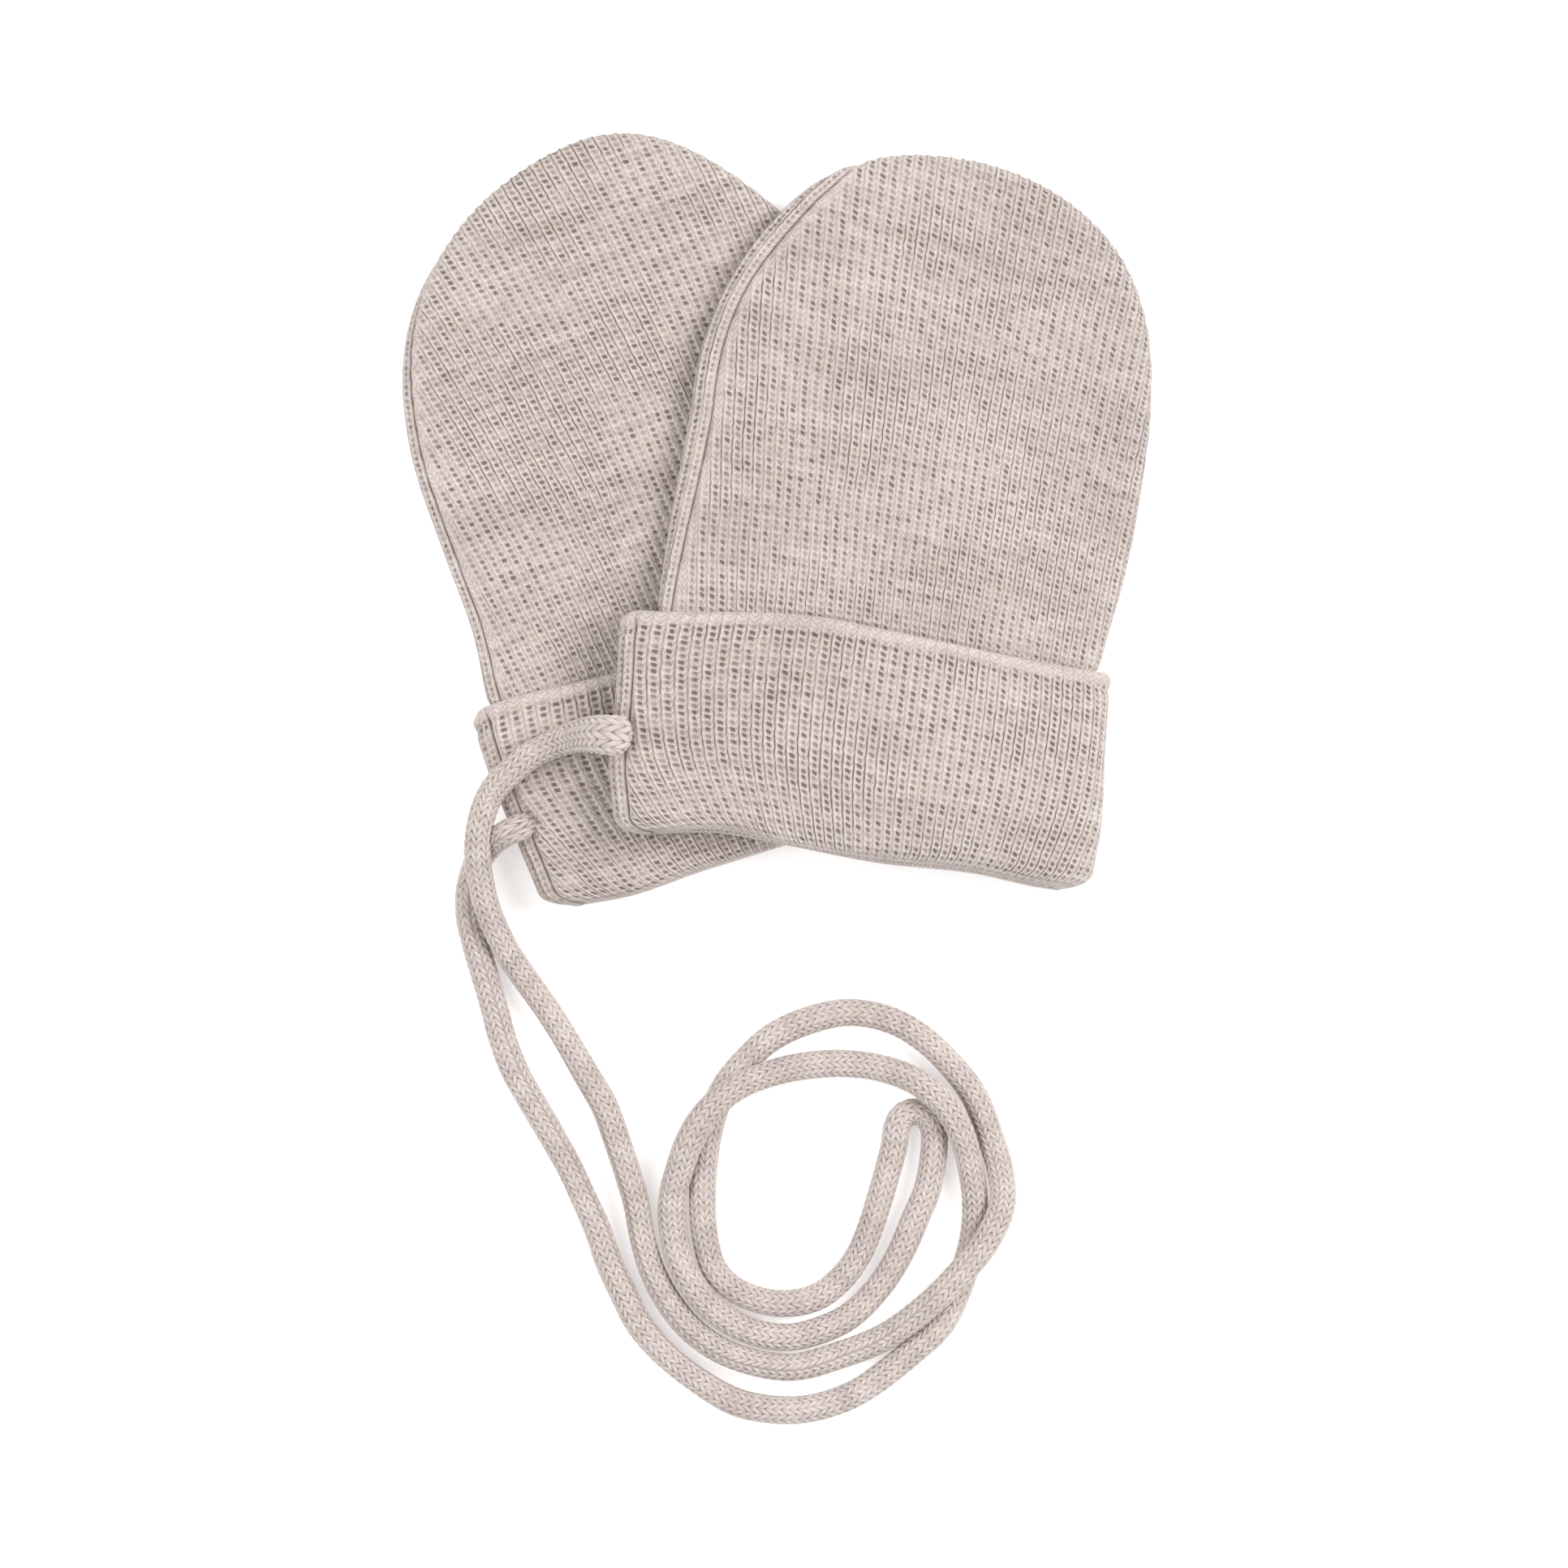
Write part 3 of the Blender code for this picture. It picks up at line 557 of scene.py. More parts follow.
# Points of the cloth


def body_middle(m, across, up):
    """Height of the plane between front and back: raised where the cuff lies under it."""
    off_cuff = ease((up - cuff_top(m, across) - GAP) / SETTLE)
    return CUFF_OUT + (BODY_OUT - CUFF_OUT) * off_cuff


def rim_inset(roll, level):
    """Distance in from the outline and height off the middle plane, at a roll round a rim."""
    turn = np.clip(roll / BODY_OUT, -math.pi / 2, math.pi / 2)
    beyond = np.maximum(np.abs(roll) - BODY_OUT * math.pi / 2, 0.0)
    return BODY_OUT - level * np.cos(turn) + beyond, level * np.sin(turn)


def body_point(m, along, roll, level):
    """Place of a body wall's point, given where it is along and round the rim."""
    across, up, out_across, out_up = outline_at(m, along)
    inset, height = rim_inset(roll, level)
    across, up = across - inset * out_across, up - inset * out_up
    return across, up, body_middle(m, across, up) + height


def body_knit(m, across, up):
    """Rib and course that a point of the body belongs to."""
    return m.first_wale + grown(m.ribs, across, up), grown(m.courses, across, up)


def along_seam(m, wale, course, away, along):
    """Turns the ribs nearest to a seam so that they run along it."""
    beside = 1 - ease((away - 3 * BACK_RIB) / BACK_RIB)
    wale = wale + beside * (m.first_wale + away / BACK_RIB - wale)
    return wale, course + beside * (along / BACK_COURSE - course)


def rim_knit(m, face, along, roll, away):
    """Rib and course at the rim, rolled out flat. The back's edge ribs run along the seam."""
    across, up, out_across, out_up = outline_at(m, along)
    inset = BODY_OUT + face * roll - BODY_OUT * math.pi / 2
    wale, course = body_knit(m, across - inset * out_across, up - inset * out_up)
    if face < 0:
        return along_seam(m, wale, course, away, along)
    return wale, course


def cuff_point(m, share, turn, level, up):
    """Place of a cuff wall's point: share runs from rim to rim, turn is the angle round a rim."""
    middle, half = flow(m.cuff_sides, "middle", up), flow(m.cuff_sides, "half", up)
    from_corner = np.clip(1 - up / CUFF_CORNER, 0.0, 1.0)
    half = half - CUFF_CORNER * (1 - np.sqrt(1 - from_corner**2))
    rim = np.sign(share) * level * np.cos(turn)
    across = middle + share * (half - CUFF_OUT) + rim
    front = (1 + np.sin(turn)) / 2
    fold = flow(m.cuff_edges, "front", across) * front
    fold = fold + flow(m.cuff_edges, "back", across) * (1 - front)
    part = up / CUFF_HEIGHT
    stray = fold * (1 - part) + flow(m.cuff_edges, "top", across) * part
    from_side = np.clip((across - middle + half) / CUFF_TOP_REACH, 0.0, 1.0)
    stray = stray - CUFF_TOP_DROP * (1 - from_side) ** 2 * part**4
    height = CUFF_OUT + level * np.sin(turn)
    return np.broadcast_arrays(across, up + stray, height)


def turned(m, across, up):
    """The mitten's own frame laid on the surface."""
    lean = math.radians(m.lean)
    x = m.foot[0] + across * math.cos(lean) + up * math.sin(lean)
    y = m.foot[1] - across * math.sin(lean) + up * math.cos(lean)
    return x, y


def top_points(m):
    """Points spread over a mitten's upper side, on the ribs' crests."""
    total, wide = body_outline(m)[0][-1], m.sides[-1].half
    along, roll = np.meshgrid(np.arange(0.0, total, DRAPE_CELL), np.arange(0.0, wide, DRAPE_CELL))
    body = body_point(m, along.ravel(), roll.ravel(), BODY_OUT + LEG)
    ups = np.arange(0.0, CUFF_HEIGHT + DRAPE_CELL, DRAPE_CELL)
    share, up = np.meshgrid(np.arange(-1.0, 1.0, DRAPE_CELL / wide), ups)
    flat = cuff_point(m, share.ravel(), math.pi / 2, CUFF_OUT + LEG, up.ravel())
    side, turn, up = np.meshgrid([-1.0, 1.0], np.linspace(0.0, math.pi / 2, 6), ups)
    rim = cuff_point(m, side.ravel(), turn.ravel(), CUFF_OUT + LEG, up.ravel())
    parts = [(*turned(m, across, up), height) for across, up, height in (body, flat, rim)]
    return [np.concatenate(column) for column in zip(*parts)]


def drape(m):
    """Height that the upper mitten is carried at, as a smooth function of place."""
    if m.lies_on is None:
        return lambda x, y: np.zeros_like(x)
    px, py, height = top_points(m.lies_on)
    grid_x = np.arange(*DRAPE_X, DRAPE_CELL)
    grid_y = np.arange(*DRAPE_Y, DRAPE_CELL)
    field = np.zeros((len(grid_y), len(grid_x)))
    for row, y in enumerate(grid_y):
        near = np.abs(py - y) < DRAPE_REACH
        away = (grid_x[:, None] - px[near]) ** 2 + (y - py[near]) ** 2
        share = np.maximum(1 - away / DRAPE_REACH**2, 0.0) ** 2
        if near.any():
            field[row] = ((height[near] + DRAPE_GAP) * share).max(axis=1)

    def weights(place):
        return 0.5 * (0.5 - place) ** 2, 0.75 - place**2, 0.5 * (0.5 + place) ** 2

    def lift(x, y):
        u = np.clip((x - grid_x[0]) / DRAPE_CELL, 1, len(grid_x) - 2)
        v = np.clip((y - grid_y[0]) / DRAPE_CELL, 1, len(grid_y) - 2)
        i, j = np.rint(u).astype(int), np.rint(v).astype(int)
        i, j = np.clip(i, 1, len(grid_x) - 2), np.clip(j, 1, len(grid_y) - 2)
        across, along = weights(u - i), weights(v - j)
        total = np.zeros(np.shape(x))
        for dj in range(3):
            for di in range(3):
                total = total + field[j + dj - 1, i + di - 1] * across[di] * along[dj]
        return total

    return lift


# Making walls from lines of points


class Cloth:
    """A closed wall of cloth, built from lines of points that are stitched to each other."""

    def __init__(self, m, lift):
        self.mitten = m
        self.lift = lift
        self.points, self.knit, self.faces = [], [], []
        self.count = 0

    def line(self, across, up, height, wale, course, open_knit):
        """Adds a line of points, given in the mitten's frame, with their places in the knit."""
        across, up, height = np.broadcast_arrays(across, up, height)
        x, y = turned(self.mitten, across, up)
        self.points.append(np.stack([x, y, height + self.lift(x, y)], axis=1))
        self.knit.append(np.stack(np.broadcast_arrays(wale, course, open_knit, x)[:3], axis=1))
        first = self.count
        self.count += len(x)
        return range(first, self.count)

    def stitch(self, one, one_keys, two, two_keys):
        """Joins two lines by a strip of faces. Points with equal keys lie across from each other."""
        i = j = 0
        while i < len(one) - 1 or j < len(two) - 1:
            next_one = one_keys[i + 1] if i < len(one) - 1 else math.inf
            next_two = two_keys[j + 1] if j < len(two) - 1 else math.inf
            if abs(next_one - next_two) < 1e-9:
                self.faces.append((one[i], two[j], two[j + 1], one[i + 1]))
                i, j = i + 1, j + 1
            elif next_one < next_two:
                self.faces.append((one[i], two[j], one[i + 1]))
                i += 1
            else:
                self.faces.append((one[i], two[j], two[j + 1]))
                j += 1

    def finish(self, name, material):
        """Makes the piece, which stands for the CAD node of its name."""
        thing = closed_mesh(name, np.concatenate(self.points), self.faces, material)
        give_knit(thing, np.concatenate(self.knit))
        return thing


def closed_mesh(name, points, faces, material):
    """A smooth closed mesh with its faces pointing out."""
    mesh = bpy.data.meshes.new(name)
    mesh.from_pydata(points, [], faces)
    solid = bmesh.new()
    solid.from_mesh(mesh)
    bmesh.ops.recalc_face_normals(solid, faces=solid.faces)
    solid.to_mesh(mesh)
    solid.free()
    mesh.shade_smooth()
    mesh.materials.append(material)
    thing = bpy.data.objects.new(name, mesh)
    bpy.context.scene.collection.objects.link(thing)
    return thing


def give_knit(thing, knit):
    """Stores each point's rib, course and openness for the material; openness below 0 marks painted shade
    along a seam.
    """
    layer = thing.data.attributes.new("knit", "FLOAT_VECTOR", "POINT")
    layer.data.foreach_set("vector", knit.astype(np.float32).ravel())


def seam_roll(m, run):
    """How far round the rim the side seam lies, at distances along the outline."""
    return flow(m.seam, "roll", run / body_outline(m)[0][-1])


def from_seam(m, across, up):
    """Distance over the front from points inside the outline to the side seam."""
    run, outline_across, outline_up = body_outline(m)
    away = np.hypot(outline_across - across[:, None], outline_up - up[:, None])
    roll = BODY_OUT * (math.pi / 2 - 1) + away.min(axis=1)
    return roll - seam_roll(m, run[away.argmin(axis=1)])


def seam_openness(away, reach):
    """How open the holes are at a distance from a seam. Below 0 is the dark line of painted shade along
    the seam's groove.
    """
    return ease((away - SEAM_SHUT) / reach) - (1 - ease(away / SEAM_LINE))


def seam_dip(away):
    """How far an edge has turned down at a distance from its seam."""
    return SEAM_DIP * np.clip(1 - away / SEAM_SOFT, 0.0, 1.0) ** 2


def body_rows(m, fine):
    """Rows of points up the body: fine ones where the knit shows."""
    if not fine:
        return np.linspace(BODY_FOOT, m.length, round((m.length - BODY_FOOT) / COARSE_ROW))
    shows = CUFF_HEIGHT + min(edge.top for edge in m.cuff_edges) - 0.001
    hidden = np.linspace(BODY_FOOT, shows, round((shows - BODY_FOOT) / HIDDEN_ROW))
    return np.concatenate([hidden, np.arange(shows + FINE_ROW, m.length, FINE_ROW)])


def comb_columns(m, inset, fine):
    """Straight columns that fill the panel inside an inset line, left to right.

    Each is its place across at the widest height, and where along the outline its top comes.
    """
    run, across, up = body_outline(m)
    _, _, out_across, out_up = outline_at(m, run)
    across, up = across - inset * out_across, up - inset * out_up
    middle, spread = rib_spread(m, up)
    place = (across - middle) / spread
    side = up < m.sides[-1].up
    left = place[side & (place < 0)].max()
    right = place[side & (place > 0)].min()
    step = FINE_COLUMN if fine else COARSE_COLUMN
    places = np.linspace(left, right, round((right - left) / step))
    dome = np.flatnonzero(~side)
    tops = np.interp(places, place[dome], up[dome])
    keys = np.interp(places, place[dome], run[dome])
    return places, tops, keys


def ring_start(m, inset, places):
    """How far in from the outline the rings start, so that they meet the comb."""
    run, across, up = body_outline(m)
    _, _, out_across, _ = outline_at(m, run)
    middle, spread = rib_spread(m, up)
    border = np.where(out_across < 0, places[0], places[-1])
    steep = np.where(np.abs(out_across) > 0.5, out_across, np.sign(out_across) + 1e-9)
    to_column = (across - middle - border * spread) / steep
    start = np.where(np.abs(out_across) > 0.5, np.maximum(inset, to_column), inset)
    return start - COMB_MARGIN


def body_skin(cloth, m, face, outside):
    """One side of a body panel's wall: columns inside, then rings out to the seam.

    It returns the edge at the side seam and the edge at the foot, each with its keys.
    """
    run, _, outline_up = body_outline(m)
    quarter = BODY_OUT * math.pi / 2
    fine = outside and face > 0
    seam = seam_roll(m, run)
    seam_inset = BODY_OUT + (face * seam if outside else np.abs(seam)) - quarter + SEAM_MARGIN
    inset = np.maximum(COMB_INSET, seam_inset)
    level = BODY_OUT if outside else SLIT_HALF
    places, tops, keys = comb_columns(m, inset, fine)
    rows = body_rows(m, fine)
    columns, column_ups = [], []
    for place, top in zip(places, tops):
        ups = np.append(rows[rows < top - SHORTEST_STEP], top)
        middle, spread = rib_spread(m, ups)
        across = middle + place * spread
        wale, course = body_knit(m, across, ups)
        height = body_middle(m, across, ups) + face * level
        openness = 1.0
        if fine:
            openness = seam_openness(from_seam(m, across, ups), FRONT_OPENS)
            openness = openness * uneven_knit(wale, course)
            off_cuff = ease((ups - cuff_top(m, across)) / 0.001)
            height = height + off_cuff * rib_relief(wale, course, openness)
            inside = np.clip(np.minimum(top - ups, 0.036 - abs(place)) / 0.01, 0, 1)
            across = across + 0.00018 * inside * soft_noise(ups, place + 0 * ups, 0.009, 3)
            height = height + 0.0002 * inside * soft_noise(ups, place + 0 * ups, 0.016, 5)
        columns.append(cloth.line(across, ups, height, wale, course, openness))
        column_ups.append(ups)
    for one, one_up, two, two_up in zip(columns, column_ups, columns[1:], column_ups[1:]):
        cloth.stitch(one, one_up, two, two_up)
    top_at = int(np.argmax(outline_up))
    left_keys = np.interp(column_ups[0][:-1], outline_up[:top_at], run[:top_at])
    right_keys = np.interp(-column_ups[-1][:-1], -outline_up[top_at:], run[top_at:])
    border = [*columns[0][:-1], *[column[-1] for column in columns], *columns[-1][-2::-1]]
    border_keys = np.concatenate([left_keys, keys, right_keys[::-1]])
    step = RIM_STEP if outside else 6 * RIM_STEP
    rings_wanted = RIM_RINGS if outside else 5
    along = np.linspace(0.0, run[-1], round(run[-1] / step) + 1)
    start = np.interp(along, run, ring_start(m, inset, places))
    end = np.interp(along, run, seam) + face * SEAM_GAP / 2
    start = face * (quarter + start - BODY_OUT)
    rings = []
    for part in np.linspace(0.0, 1.0, rings_wanted + 1):
        roll = start + (end - start) * part
        away = np.abs(roll - end)
        wale, course = rim_knit(m, face, along, roll, away)
        openness = seam_openness(away, FRONT_OPENS if face > 0 else BACK_OPENS)
        openness = openness * uneven_knit(wale, course)
        levels = level
        if outside:
            across, up, _ = body_point(m, along, roll, level)
            shows = ease((roll + 0.8 * quarter) / (0.6 * quarter))
            shows = shows * ease((up - cuff_top(m, across)) / 0.001)
            levels = level + shows * rib_relief(wale, course, openness) - seam_dip(away)
        across, up, height = body_point(m, along, roll, levels)
        rings.append(cloth.line(across, up, height, wale, course, openness))
    cloth.stitch(border, border_keys, rings[0], along)
    for one, two in zip(rings, rings[1:]):
        cloth.stitch(one, along, two, along)
    foot = [ring[0] for ring in reversed(rings)] + [column[0] for column in columns]
    foot += [ring[-1] for ring in rings]
    out = 2 * m.sides[-1].half
    ring_keys = [out + number / rings_wanted for number in range(len(rings))]
    foot_keys = [-key for key in reversed(ring_keys)] + list(places) + ring_keys
    return (rings[-1], along), (foot, foot_keys)


def body_panel(m, lift, face, name, material):
    """Front (face 1) or back (face -1) of a mitten's body."""
    cloth = Cloth(m, lift)
    outer = body_skin(cloth, m, face, True)
    inner = body_skin(cloth, m, face, False)
    for (outer_edge, outer_keys), (inner_edge, inner_keys) in zip(outer, inner):
        cloth.stitch(outer_edge, outer_keys, inner_edge, inner_keys)
    return cloth.finish(name, material)


# Cuff


def cuff_chains(m):
    """Level and height of the cuff wall's outer and inner side, from its top edge to its hem."""
    middle, half = (CUFF_IN + CUFF_OUT) / 2, CUFF_WALL / 2
    outer = []
    for angle in np.radians(np.linspace(4, 90, 7)):
        outer.append((middle + half * math.sin(angle), CUFF_HEIGHT - half + half * math.cos(angle)))
    rows = np.arange(FOLD_RADIUS, CUFF_HEIGHT - half - SHORTEST_STEP, FINE_ROW)
    outer += [(CUFF_OUT, row) for row in rows[::-1]]
    fold_level = SLIT_HALF + FOLD_RADIUS
    for angle in np.radians(np.linspace(6, 180, 24)):
        level = fold_level + FOLD_RADIUS * math.cos(angle)
        outer.append((level, FOLD_RADIUS - FOLD_RADIUS * math.sin(angle)))
    outer.append((SLIT_HALF, CUFF_HEM))
    inner = []
    for angle in np.radians([4, 45, 90]):
        inner.append((middle - half * math.sin(angle), CUFF_HEIGHT - half + half * math.cos(angle)))
    inner += [(CUFF_IN, row) for row in np.arange(CUFF_HEIGHT - 2 * COARSE_ROW, FOLD_RADIUS, -COARSE_ROW)]
    inner += [(CUFF_IN, FOLD_RADIUS), ((CUFF_IN + BODY_OUT) / 2, FOLD_RADIUS - GAP / 2)]
    inner += [(BODY_OUT, FOLD_RADIUS), (BODY_OUT, CUFF_HEM)]
    return outer, inner


def cuff_columns(face, width, fine):
    """Share, turn and distance of each column round half the cuff, left seam to right seam."""
    quarter = CUFF_OUT * math.pi / 2
    seam_turn = CUFF_SEAM_TURN * CUFF_OUT + face * SEAM_GAP / 2
    seam_right = CUFF_SEAM_SHARE * width / 2 + face * SEAM_GAP / 2
    if face > 0:
        low = -width / 2 - (quarter - seam_turn)
        high = width / 2 + 2 * quarter + (width / 2 - seam_right)
    else:
        low = -width / 2 - quarter - seam_turn
        high = seam_right
    if fine:
        places = np.arange(low + SHORTEST_STEP, high - SHORTEST_STEP, FINE_COLUMN)
        if face < 0:
            flat = np.abs(places) < width / 2
            places = places[~flat | (np.arange(len(places)) % 4 == 0)]
        dense = low + SEAM_SOFT * np.array([0.12, 0.3, 0.5, 0.75])
        places = places[places > low + SEAM_SOFT]
        places = np.concatenate([[low], dense, places, [high]])
    else:
        places = np.linspace(low, high, round((high - low) / COARSE_COLUMN))
    beyond = np.maximum(np.abs(places) - width / 2, 0.0)
    turn = face * (math.pi / 2 - np.minimum(beyond, 2 * quarter) / CUFF_OUT)
    under = np.maximum(beyond - 2 * quarter, 0.0)
    share = np.sign(places) * (np.minimum(np.abs(places), width / 2) - under) / (width / 2)
    return places, share, turn


def cuff_panel(m, lift, face, name, material):
    """Front (face 1) or back (face -1) of the turned-up cuff, a wall that hooks round its fold."""
    cloth = Cloth(m, lift)
    width = 2 * (m.cuff_sides[-1].half - CUFF_OUT)
    fine, coarse = cuff_columns(face, width, True), cuff_columns(face, width, False)
    skins = []
    for chain, columns in zip(cuff_chains(m), (fine, coarse)):
        run = np.concatenate([[0.0], np.cumsum(np.hypot(*np.diff(np.array(chain), axis=0).T))])
        fold_down = run[np.argmin([up for _, up in chain])]
        lines = []
        for number, ((level, up), down) in enumerate(zip(chain, run)):
            places, share, turn = columns if number < len(chain) - 2 else coarse
            away = places - places[0]
            wale = m.first_wale + grown(CUFF_RIBS, places, CUFF_HEIGHT - down)
            course = grown(CUFF_COURSES, places, CUFF_HEIGHT - down)
            if face < 0:
                wale, course = along_seam(m, wale, course, away, down)
            crease = math.exp(-(((down - CREASE_PLACE) / CREASE_WIDTH) ** 2))
            # Holes open wider along the crease, so their painted shade is darker there
            openness = CUFF_OPEN * (1 + CREASE_OPENS * crease) * seam_openness(away, BACK_OPENS)
            openness = openness * uneven_knit(wale, course)
            openness = openness * ease((down - EDGE_SHUT) / EDGE_OPENS)
            openness = openness * ease(abs(down - fold_down) / FOLD_OPENS)
            levels, ups = level, up
            if places is fine[0]:
                shows = ease((turn + 0.8 * math.pi / 2) / (0.6 * math.pi / 2))
                shows = shows * ease((down - 0.0004) / 0.0012)
                raised = shows * rib_relief(wale, course, openness)
                raised = raised - seam_dip(away) * ease(down / CREASE_PLACE)
                raised = raised - CREASE_DEPTH * crease
                bend = np.clip((level - SLIT_HALF - FOLD_RADIUS) / FOLD_RADIUS, -1.0, 1.0)
                dive = math.sqrt(1 - bend**2) if up < FOLD_RADIUS else 0.0
                levels = level + raised * (bend if up < FOLD_RADIUS else 1.0)
                ups = up - raised * dive
            across, ups, height = cuff_point(m, share, turn, levels, ups)
            lines.append((cloth.line(across, ups, height, wale, course, openness), places))
        for (one, one_keys), (two, two_keys) in zip(lines, lines[1:]):
            cloth.stitch(one, one_keys, two, two_keys)
        skins.append((lines, np.arange(len(chain)) / (len(chain) - 1)))
    (outer, outer_ends), (inner, inner_ends) = skins
    for row in (0, -1):
        cloth.stitch(*outer[row], *inner[row])
    for end in (0, -1):
        outer_end = [line[end] for line, _ in outer]
        inner_end = [line[end] for line, _ in inner]
        cloth.stitch(outer_end, outer_ends, inner_end, inner_ends)
    return cloth.finish(name, material)


# Cord


def cord_line():
    """Evenly spaced points of the smooth curve through the cord's route, and its length."""
    bends = np.array(CORD_ROUTE)
    pace = np.sqrt(np.linalg.norm(np.diff(bends, axis=0), axis=1))
    knots = np.concatenate([[0.0], np.cumsum(pace)])
    slopes = np.gradient(bends, knots, axis=0)
    points = []
    for i, width in enumerate(pace):
        t = np.linspace(0.0, 1.0, 20, endpoint=False)[:, None]
        start = (1 + 2 * t) * (1 - t) ** 2 * bends[i] + t * (1 - t) ** 2 * width * slopes[i]
        end = t * t * (3 - 2 * t) * bends[i + 1] + t * t * (t - 1) * width * slopes[i + 1]
        points.append(start + end)
    line = np.concatenate([*points, bends[-1:]])
    run = np.concatenate([[0.0], np.cumsum(np.linalg.norm(np.diff(line, axis=0), axis=1))])
    even = np.linspace(0.0, run[-1], round(run[-1] / CORD_PATH_STEP) + 1)
    return even, along_line(even, run, line)


def along_line(at, run, line):
    """Points of a line at distances along it."""
    return np.stack([np.interp(at, run, line[:, axis]) for axis in range(3)], axis=-1)


def cord_frame(line):
    """Two directions square to the line at each of its points, carried along without twist."""
    heading = np.gradient(line, axis=0)
    heading /= np.linalg.norm(heading, axis=1)[:, None]
    side = np.zeros_like(line)
    side[0] = np.cross(heading[0], (0.0, 0.0, 1.0))
    for i in range(1, len(line)):
        side[i] = side[i - 1] - heading[i] * np.dot(side[i - 1], heading[i])
        side[i] /= np.linalg.norm(side[i])
    return side, np.cross(side, heading)


def cord_tube(name, material):
    """The knitted cord: wales of slanting stitches round a tube, whose rings slant with them."""
    run, line = cord_line()
    side, top = cord_frame(line)
    length = run[-1]
    stitches = round(length / CORD_STITCH)
    wale = np.arange(CORD_COLUMNS) * CORD_WALES / CORD_COLUMNS
    even = np.linspace(0.0, length, CORD_RINGS * stitches + 1)[:, None]
    slanted = ease(np.minimum(even, length - even) / CORD_PLAIN_END)
    along = even - slanted * CORD_SLANT * np.abs(wale % 1.0 - 0.5) * length / stitches
    stitch = along * stitches / length
    turn = 2 * math.pi * wale / CORD_WALES + CORD_TWIST * along
    swell = 1 + CORD_SWELL * soft_noise(along, 0 * along, 0.012, 23)
    radius = swell * CORD_DIAMETER / 2 + CORD_RELIEF / 3 + cord_relief(wale, stitch)
    widened = 1 + CORD_FLAT_END * (1 - ease(along / CORD_FLAT_REACH))
    out = (widened * np.cos(turn))[..., None] * along_line(along, run, side)
    out = out + np.sin(turn)[..., None] * along_line(along, run, top)
    points = along_line(along, run, line) + radius[..., None] * out
    points[..., 2] = np.maximum(points[..., 2], 0.00004)
    grid = np.arange(points.shape[0] * CORD_COLUMNS).reshape(-1, CORD_COLUMNS)
    beside = np.roll(grid, -1, axis=1)
    quads = np.stack([grid[:-1], beside[:-1], beside[1:], grid[1:]], axis=-1).reshape(-1, 4)
    first, last = grid.size, grid.size + 1
    faces = quads.tolist()
    faces += [(first, int(a), int(b)) for a, b in zip(beside[0], grid[0])]
    faces += [(last, int(a), int(b)) for a, b in zip(grid[-1], beside[-1])]
    points = np.concatenate([points.reshape(-1, 3), line[:1], line[-1:]])
    thing = closed_mesh(name, points, faces, material)
    knit = np.stack(np.broadcast_arrays(wale, stitch, 1.0), axis=-1).reshape(-1, 3)
    give_knit(thing, np.concatenate([knit, np.zeros((2, 3))]))
    return thing


# Materials


def node(tree, kind, inputs=(), **settings):
    """Adds a node: an input is a number, a colour or another node's output."""
    made = tree.nodes.new(kind)
    for name, value in settings.items():
        setattr(made, name, value)
    for name, value in dict(inputs).items():
        if isinstance(value, bpy.types.NodeSocket):
            tree.links.new(value, made.inputs[name])
        else:
            made.inputs[name].default_value = value
    return made


def maths(tree, operation, *values):
    """Output of a Math node."""
    return node(tree, "ShaderNodeMath", enumerate(values), operation=operation).outputs[0]


def ramp(tree, value, low, high, start=0.0, end=1.0):
    """Output that goes softly from start to end as value goes from low to high."""
    inputs = {0: value, 1: low, 2: high, 3: start, 4: end}
    made = node(tree, "ShaderNodeMapRange", inputs, interpolation_type="SMOOTHSTEP")
    return made.outputs[0]


def mixed(tree, share, one, two, how="MIX"):
    """Output of a colour mix."""
    made = node(tree, "ShaderNodeMix", data_type="RGBA", blend_type=how, clamp_result=True)
    for socket, value in ((0, share), (6, one), (7, two)):
        if isinstance(value, bpy.types.NodeSocket):
            tree.links.new(value, made.inputs[socket])
        else:
            made.inputs[socket].default_value = value
    return made.outputs[2]


def noise_of(tree, vector, scale, detail, rough=0.5):
    """Output of a noise texture, mostly from 0.3 to 0.7."""
    inputs = {"Vector": vector, "Scale": scale, "Detail": detail, "Roughness": rough}
    return node(tree, "ShaderNodeTexNoise", inputs).outputs[0]


def chance(tree, wale, course):
    """Three random numbers from 0 to 1 for the cell of the knit that a point lies in."""
    cell = [maths(tree, "FLOOR", wale), maths(tree, "FLOOR", course)]
    vector = node(tree, "ShaderNodeCombineXYZ", enumerate(cell)).outputs[0]
    colour = node(tree, "ShaderNodeTexWhiteNoise", {"Vector": vector}, noise_dimensions="3D")
    return node(tree, "ShaderNodeSeparateColor", {0: colour.outputs["Color"]}).outputs


def shifted(tree, value, noise, reach):
    """A value moved by up to half of reach either way, by a number from 0 to 1."""
    return maths(tree, "MULTIPLY_ADD", noise, reach, maths(tree, "SUBTRACT", value, reach / 2))


def scaled(tree, vector, factors):
    """A vector stretched along its three directions."""
    made = node(tree, "ShaderNodeVectorMath", {0: vector, 1: factors}, operation="MULTIPLY")
    return made.outputs[0]


